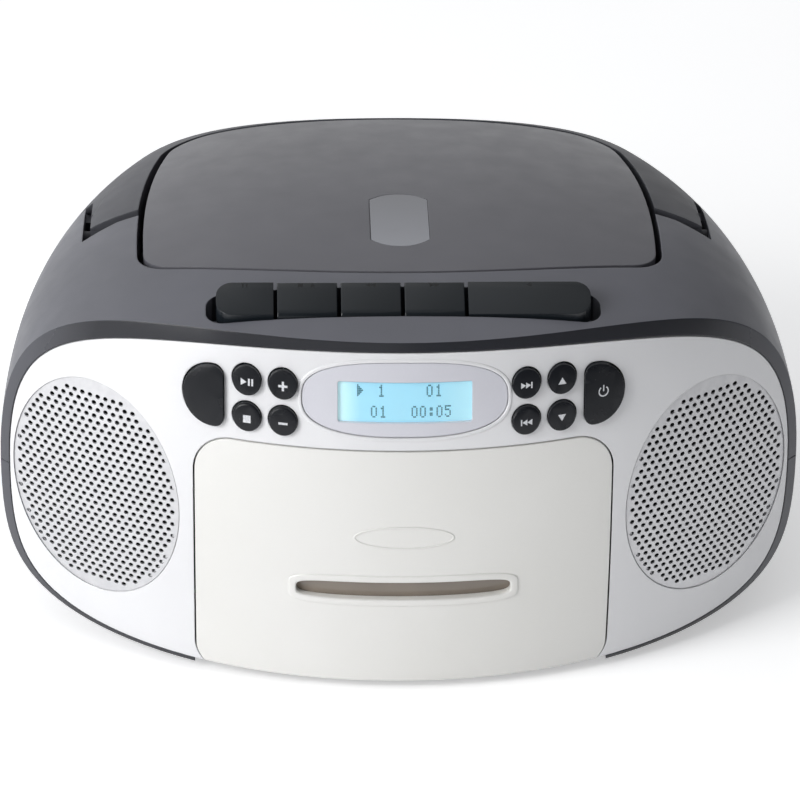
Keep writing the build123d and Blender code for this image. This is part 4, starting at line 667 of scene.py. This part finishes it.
figures = [(">", -17.0, top_line), ("1", -9.6, top_line), ("0", 8.0, top_line), ("1", 11.0, top_line)]
for figure, left in (("0", -12.0), ("1", -9.0), ("0", 2.6), ("0", 5.6), (":", 8.6), ("0", 11.6), ("5", 14.6)):
    figures.append((figure, left, low_line))
work = bmesh.new()
for figure, left, base in figures:
    for row, line in enumerate(digit_rows[figure]):
        for column, lit in enumerate(line):
            if lit == "1":
                upward = (3 - row) * dot_step * line_stretch
                middle = Vector((left + column * dot_step, screen_z + base + upward, 0))
                bmesh.ops.create_grid(
                    work, x_segments=1, y_segments=1, size=dot_size / 2, matrix=Matrix.Translation(middle)
                )
made = bmesh.ops.extrude_face_region(work, geom=work.faces[:])
for item in made["geom"]:
    if isinstance(item, bmesh.types.BMVert):
        item.co.z = dot_relief
for vert in work.verts:
    vert.co = front_point(vert.co.x, vert.co.y, screen_depth - vert.co.z)
segments = made_piece("lcd_figures", "case", lcd_ink, work)

# Cover over the screen: a sheet of clear cast acrylic, set into the fascia just behind its face.
# It is polished, so it adds a thin reflection and hardly any tint.
clear_acrylic, tree, shader, place = start_material("clear_acrylic")
wiped = add_node(tree, "ShaderNodeTexNoise", {"Vector": place, "Scale": 1 / (8.333 * mm), "Detail": 2.0})
feed(shader, {
    "Roughness": add_node(tree, "ShaderNodeMapRange", {0: wiped, 1: 0.3, 2: 0.7, 3: 0.02, 4: 0.06}),
    "Base Color": color("#f4fbff"), "Transmission Weight": 1.0, "IOR": 1.49, "Alpha": 0.25,
})
cover = plate("lcd_cover", "case", clear_acrylic, [screen_outline(-0.1)], front_point, 0.5, 0.9, grid=5.0)

# Latch slots below the fascia: the two narrow openings that the snap hooks of the moulding leave
# in the panel. They hold shadow, so they read as short dark lines.
latch_middles = (-16.0, 16.6)
latch_z = 107.35
latch_half = 3.6
latch_up = 0.18
latch_corner = 0.15
slot_dark, tree, shader, place = two_tone("mould_slot", "#3a3a3e", "#2c2c30", 1.25, 0.7)
for index, x in enumerate(latch_middles):
    outline = rounded_bar(x, latch_z, latch_half, latch_up, latch_corner)
    latch = plate(f"fascia_slot_{index}", "case", slot_dark, [outline], front_point, -0.12, 0.4)

# Tape keys: blue-black ABS caps on steel levers, from a polished tool. They are glossier than the
# buttons, with a broad soft front edge that catches a long highlight.
key_black = moulded("key_gloss_abs", "#1b2025", "#181d21", 0.2, relief=0.006, edge=0.3)
keys = ("key_pause", "key_stop_eject", "key_fast_forward", "key_rewind", "key_play")
key_toe_radius = 2.4
key_edge = 0.5
toe_y = -82.0
toe_low, toe_high = 142.0, 145.0
cap_low = 140.0


def at_toe(place):
    """Whether a point is on the keys' front upper edge."""
    return place.y < toe_y and toe_low < place.z < toe_high


def on_cap(place):
    """Whether a point is on the part of a key that shows."""
    return place.z > cap_low


for key in keys:
    softened(key, key + "_body", key_black, [
        (at_toe, key_toe_radius, 5), (on_cap, key_edge, 3),
    ])

# Signs on the keys: engraved in the narrow strip along the rear edge by the tool itself. They
# hold shadow, so they read as darker marks in the gloss.
key_shoulder_y = -71.3      # where the slope ends and the narrow strip behind it starts
key_shoulder_z = 148.5
key_rear_y = -68.6
key_rear_z = 149.4
sign_at = 1.4               # middle of the signs, back from the shoulder
engraved, tree, shader, place = two_tone("engraved_sign", "#15171a", "#0f1012", 1.111, 0.45)
key_middle = {}
for key in keys:
    low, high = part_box(key)
    key_middle[key] = (low.x + high.x) / 2 / mm


def strip_point(x, along, depth):
    """A point of the strip along the keys' rear edge; along runs back from the shoulder."""
    run = key_rear_y - key_shoulder_y
    rise = key_rear_z - key_shoulder_z
    length = sqrt(run**2 + rise**2)
    y = key_shoulder_y + run * along / length + depth * rise / length
    z = key_shoulder_z + rise * along / length - depth * run / length
    return Vector((x * mm, y * mm, z * mm))


key_signs = {
    "key_pause": [bar(-0.7, sign_at, 0.6, 1.9), bar(0.7, sign_at, 0.6, 1.9)],
    "key_stop_eject": [
        bar(-2.4, sign_at, 1.8, 1.8),
        wedge(2.0, sign_at + 0.35, 1.2, 1), bar(2.0, sign_at - 0.75, 1.7, 0.4),
    ],
    "key_fast_forward": [arrow(-0.9, sign_at, 1.7, -1), arrow(0.9, sign_at, 1.7, -1)],
    "key_rewind": [arrow(-0.9, sign_at, 1.7, 1), arrow(0.9, sign_at, 1.7, 1)],
    "key_play": [arrow(0, sign_at, 1.8, -1)],
}
for key, shapes in key_signs.items():
    for index, shape in enumerate(shapes):
        moved = [(key_middle[key] + x, along) for x, along in shape]
        sign = plate(f"{key}_sign_{index}", key + "_body", engraved, [moved], strip_point, -0.03, 0.3)

# Slot and oval of the cassette door: a soft bevelled surround and a low rim above it, both
# moulded in one with the door and sprayed with it, so they show only by their soft edges.
slot_z = 46.0
slot_half = 39.2
slot_up = 3.7
slot_power = 5.0
surround_offset = 1.5
surround_width = 2.8
surround_height = 0.5
oval_half = 18.0
oval_up = 4.3
oval_z = 68.5
oval_power = 2.0            # a plain ellipse
oval_width = 0.8
oval_height = 0.22
surround_bead = bead(
    "slot_surround", "cassette_door_body", door_white, slot_half + surround_offset, slot_up + surround_offset,
    slot_z, slot_power, surround_width, surround_height,
)
oval_bead = bead(
    "door_oval_rim", "cassette_door_body", door_white, oval_half, oval_up, oval_z, oval_power,
    oval_width, oval_height,
)

# Strip behind the slot: smoked acrylic, heat staked inside the door. It is brownish and glossy,
# so a cassette behind it would show only dimly.
smoked, tree, shader, place = two_tone("smoked_strip", "#8b8074", "#7a7065", 16.67, 0.18)
feed(shader, {"Coat Weight": 0.5})
dress(smoked, "cassette_window")

# Window of the disc lid: smoked acrylic, glued in flush, with a polished face. Its colour is
# painted lighter towards the front, a painted reflection of the bright surround, and darker
# towards the rear, painted shade of the dark well below.
lid_smoke, tree, shader, place = start_material("lid_smoked_acrylic_painted_reflection")
# Painted reflection and painted shade: the tone runs from light at the front to dark at the rear.
depth_shade = add_node(tree, "ShaderNodeSeparateXYZ", {"Vector": place}, "Y")
shade = add_node(tree, "ShaderNodeMapRange", {0: depth_shade, 1: -38 * mm, 2: 3 * mm, 3: 0.0, 4: 1.0})
painted_reflection_and_shade = add_node(
    tree, "ShaderNodeMix", {0: shade, 6: color("#8d8f96"), 7: color("#60626a")}, 2, data_type="RGBA",
)
wiped = add_node(tree, "ShaderNodeTexNoise", {"Vector": place, "Scale": 1 / (12.5 * mm), "Detail": 2.0})
feed(shader, {
    "Base Color": painted_reflection_and_shade,
    "Roughness": add_node(tree, "ShaderNodeMapRange", {0: wiped, 1: 0.3, 2: 0.7, 3: 0.06, 4: 0.12}),
    "Coat Weight": 0.6, "Coat Roughness": 0.05,
})
dress(lid_smoke, "lid_window")

# Inner mouldings: disc well, holder, sleds, reels and sockets, in black glass-filled plastics
# straight from an unpolished tool. They look matt and a little dusty, with a coarse grain.
inner_grain = 0.5556        # mm
dark_plastic = moulded("inner_matt_abs", "#36363a", "#303034", 0.6, grain=inner_grain, relief=0.04)
dress(
    dark_plastic,
    "cd_deck", "cassette_holder", "tape_head", "disc_clamp", "cd_spindle", "laser_sled", "ac_inlet",
    "audio_sockets", "reel_left", "reel_right",
)
dress(moulded("swivel_abs", "#303034", "#2b2b2f", 0.45), "antenna_swivel")


# Metal parts: zinc plated steel in the mechanisms, turned brass for the pulley, drawn and chromed
# tube for the aerial, stamped black steel for the loudspeaker baskets. Each keeps the fine streaks
# of rolling, turning or drawing, which stretch its highlights. Streaks are about 1 by 25 mm.
def metal(name, tone, deep_tone, roughness, streak=(25.0, 1.111, 1.111)):
    """Metal with fine streaks of a length, a width and a height in millimetres."""
    material, tree, shader, place = start_material(name)
    scale = [1 / (size * mm) for size in streak]
    stretched = add_node(tree, "ShaderNodeMapping", {"Vector": place, "Scale": scale})
    streaks = add_node(tree, "ShaderNodeTexNoise", {"Vector": stretched, "Scale": 1.0, "Detail": 3.0})
    share = add_node(tree, "ShaderNodeMapRange", {0: streaks, 1: 0.3, 2: 0.7, 3: 0.0, 4: 1.0})
    feed(shader, {
        "Base Color": add_node(
            tree, "ShaderNodeMix", {0: share, 6: color(tone), 7: color(deep_tone)}, 2, data_type="RGBA",
        ),
        "Roughness": add_node(tree, "ShaderNodeMapRange", {
            0: streaks, 1: 0.3, 2: 0.7, 3: roughness - 0.05, 4: roughness + 0.07,
        }),
        "Normal": add_node(tree, "ShaderNodeBevel", {"Radius": 0.2 * mm}, samples=4),
        "Metallic": 1.0,
    })
    return material


dress(
    metal("zinc_plated_steel", "#b4b6b8", "#9c9ea2", 0.36),
    "tape_chassis", "tape_motor", "cd_chassis", "capstan", "transformer", "battery_contacts", "case_screws",
)
dress(metal("turned_brass", "#c9a860", "#b8964f", 0.3), "motor_pulley")
dress(
    metal("drawn_chrome", "#dddee0", "#d0d2d5", 0.12),
    "antenna_section_1", "antenna_section_2", "antenna_section_3",
)
dress(metal("stamped_black_steel", "#2a2a2c", "#232325", 0.45), "speaker_left", "speaker_right")

# Belt, pinch roller and feet: moulded black rubber. Its matt skin scatters the light, with a
# coarser grain than the plastics.
rubber = moulded("black_rubber", "#1d1d1e", "#18181a", 0.8, grain=1.111, relief=0.06)
dress(rubber, "drive_belt", "pinch_roller", "feet")

# Turntable: the plastic hub under the disc, with a soft rubber ring stuck on top that keeps the
# disc from slipping.
disc_y = 20.0
turntable_z = 110.2
pad_inner, pad_outer = 9.0, 14.0
pad_round = 0.1


def turned(name, body, material, profile, x, y, steps=48, sharp=35.0):
    """A profile of radius and height turned about an upright axis at x, y, all in millimetres."""
    work = bmesh.new()
    ring = [work.verts.new((radius, 0, height)) for radius, height in profile]
    edges = [work.edges.new((a, b)) for a, b in zip(ring, ring[1:])]
    bmesh.ops.spin(
        work, geom=ring + edges, cent=(0, 0, 0), axis=(0, 0, 1), angle=2 * pi, steps=steps, use_merge=True,
    )
    bmesh.ops.remove_doubles(work, verts=work.verts, dist=0.0001)
    for vert in work.verts:
        vert.co = Vector((vert.co.x + x, vert.co.y + y, vert.co.z)) * mm
    return made_piece(name, body, material, work, sharp)


pad_low, pad_high = turntable_z - 0.05, turntable_z + 0.25
pad = turned("turntable_pad", "spindle_body", rubber, [
    (pad_inner, pad_low), (pad_inner, pad_high - pad_round), (pad_inner + pad_round, pad_high),
    (pad_outer - pad_round, pad_high), (pad_outer, pad_high - pad_round), (pad_outer, pad_low),
    (pad_inner, pad_low),
], 0, disc_y)

# Clamp ring: dark grey wool felt, glued under the disc clamp. Its nap swallows the light and
# keeps the disc from being scratched.
clamp_z = 111.7
felt_inner, felt_outer = 10.0, 15.2
nap_size = 0.7143           # mm
felt, tree, shader, place = two_tone("clamp_felt", "#3c3c40", "#5a5a60", nap_size, 0.95, 4.0)
nap = add_node(tree, "ShaderNodeTexNoise", {"Vector": place, "Scale": 1 / (nap_size * mm), "Detail": 4.0})
feed(shader, {"Normal": add_node(tree, "ShaderNodeBump", {"Height": nap, "Distance": 0.1 * mm})})
felt_low, felt_high = clamp_z - 0.3, clamp_z + 0.1
felt_ring = turned("clamp_felt_ring", "clamp_body", felt, [
    (felt_inner, felt_high), (felt_inner, felt_low), (felt_outer, felt_low), (felt_outer, felt_high),
    (felt_inner, felt_high),
], 0, disc_y)

# Hub balls: three polished bearing balls, sprung outwards from the hub, that snap into the hole
# of a disc. They show as three small bright points.
ball_radius = 0.9
ball_ring = 6.9
ball_z = 111.15
fine_streak = (3.333, 3.333, 3.333)
polished_steel = metal("polished_steel", "#c8cacc", "#b6b8bb", 0.14, streak=fine_streak)
for index in range(3):
    angle = radians(90 + 120 * index)
    work = bmesh.new()
    bmesh.ops.create_uvsphere(work, u_segments=24, v_segments=16, radius=ball_radius * mm)
    middle = Vector((ball_ring * cos(angle), disc_y + ball_ring * sin(angle), ball_z)) * mm
    bmesh.ops.translate(work, vec=middle, verts=work.verts)
    ball = made_piece(f"hub_ball_{index}", "spindle_body", polished_steel, work, 80.0)

# Laser lens: a clear moulded lens with a violet coating, held on the sled by a soft black ring.
# It is the one mirror-like point in the dark slot.
laser_y = -4.5
turret_z = 109.4
lens_radius = 2.3
lens_base = turret_z + 0.1
lens_bulge = 0.45
lens_ring = turned("laser_lens_ring", "sled_body", rubber, [
    (2.4, turret_z - 0.1), (2.4, turret_z + 0.45), (2.6, turret_z + 0.6), (3.2, turret_z + 0.6),
    (3.5, turret_z + 0.35), (3.5, turret_z - 0.1), (2.4, turret_z - 0.1),
], 0, laser_y)
lens_glass, tree, shader, place = two_tone("laser_lens_glass", "#23356b", "#2f2a63", 2.0, 0.04)
feed(shader, {"Coat Weight": 1.0})
dome = [(0.0, turret_z - 0.05), (lens_radius, turret_z - 0.05)]
for i in range(9):
    angle = radians(90 * i / 8)
    dome.append((lens_radius * cos(angle), lens_base + lens_bulge * sin(angle)))
lens = turned("laser_lens", "sled_body", lens_glass, dome, 0, laser_y)

# Battery door: a flat ABS moulding like the case, snapped in at its top edge, with five raised
# finger ribs that get shorter downwards.
rear_face = 109.0
grip_x = -20.5
grip_z = 51.5
rib_count = 5
rib_pitch = 1.6
rib_half = 8.5
rib_rise = 0.55
battery_grey = moulded("battery_door_abs", "#64656d", "#5f6067", 0.44, edge=0.7)
dress(battery_grey, "battery_door")


def rear_point(x, z, inset):
    """A point of the flat back in metres, inset before its face."""
    return Vector((x * mm, (rear_face - inset) * mm, z * mm))


for index in range(rib_count):
    outline = rounded_bar(grip_x, grip_z - rib_pitch * index, rib_half - index, 0.4, 0.35, steps=3)
    finger_rib = plate(
        f"battery_door_rib_{index}", "battery_door_body", battery_grey, [outline], rear_point,
        -rib_rise, 0.2, soften=0.25,
    )

# Metal of the sockets: a nickel plated ring round the headphone socket, the plated shell of the
# memory stick socket and the two pins of the mains inlet, all pressed in. Nickel shines yellowish.
socket_x = 60.0
socket_z = 54.0
jack_x = socket_x - 8.0
stick_x = socket_x + 6.5
inlet_z = 36.0
pin_offset = 3.3
pin_radius = 1.25
ring_outer, ring_inner = 3.1, 1.95
shell_half, shell_up = 6.25, 2.55
shell_wall = 0.3
nickel = metal("nickel_plated_brass", "#cfcdc4", "#bdbbb2", 0.2, streak=fine_streak)
jack_ring = plate(
    "jack_ring", "case", nickel,
    [circle(jack_x, socket_z, ring_outer, 40), circle(jack_x, socket_z, ring_inner, 40)],
    rear_point, -0.6, 0.3, soften=0.3,
)
stick_shell = plate(
    "memory_stick_shell", "case", nickel, [
        rounded_bar(stick_x, socket_z, shell_half, shell_up, 0.4),
        rounded_bar(stick_x, socket_z, shell_half - shell_wall, shell_up - shell_wall, 0.3),
    ], rear_point, -0.1, 8.0,
)
for index, offset in enumerate((-pin_offset, pin_offset)):
    pin = plate(
        f"inlet_pin_{index}", "case", nickel, [circle(socket_x + offset, inlet_z, pin_radius, 24)],
        rear_point, 4.9, 8.9, soften=0.4,
    )

# Tongue of the memory stick socket: moulded natural nylon inside the shell, milky white and
# slightly glossy, which carries the contacts on its lower side.
tongue_white, tree, shader, place = two_tone("tongue_nylon", "#e8e8e4", "#dcdcd6", 5.0, 0.5)
tongue = plate(
    "memory_stick_tongue", "case", tongue_white, [rounded_bar(stick_x, socket_z + 0.8, 5.2, 0.85, 0.1)],
    rear_point, 1.2, 8.4,
)

# Loudspeaker cones: pressed black paper pulp, glued to their baskets. The fibres give a rough,
# unevenly black surface.
fibre_size = 1.4286         # mm
cone_paper, tree, shader, place = two_tone("pressed_cone_paper", "#1b1b1c", "#2c2c2d", fibre_size, 0.85, 5.0)
fibres = add_node(tree, "ShaderNodeTexNoise", {
    "Vector": place, "Scale": 1 / (fibre_size * mm), "Detail": 5.0,
})
soft_edge = add_node(tree, "ShaderNodeBevel", {"Radius": 0.3 * mm}, samples=4)
felted = add_node(tree, "ShaderNodeBump", {"Height": fibres, "Distance": 0.1 * mm, "Normal": soft_edge})
feed(shader, {"Normal": felted})
dress(cone_paper, "speaker_cone_left", "speaker_cone_right")

# Circuit boards: fibreglass laminate under green solder resist, screwed to their bosses. The
# etched tracks show through the resist as lighter lines.
track_repeat = 3.333        # mm, over two tracks
board_green, tree, shader, place = start_material("solder_resist")
tracks = add_node(tree, "ShaderNodeTexBrick", {
    "Vector": place, "Color1": color("#1d5c35"), "Color2": color("#1a5230"), "Mortar": color("#2f7c4b"),
    "Scale": 1 / (track_repeat * mm), "Mortar Size": 0.06,
}, "Color")
feed(shader, {"Base Color": tracks, "Roughness": 0.35})
dress(board_green, "control_board", "main_board")
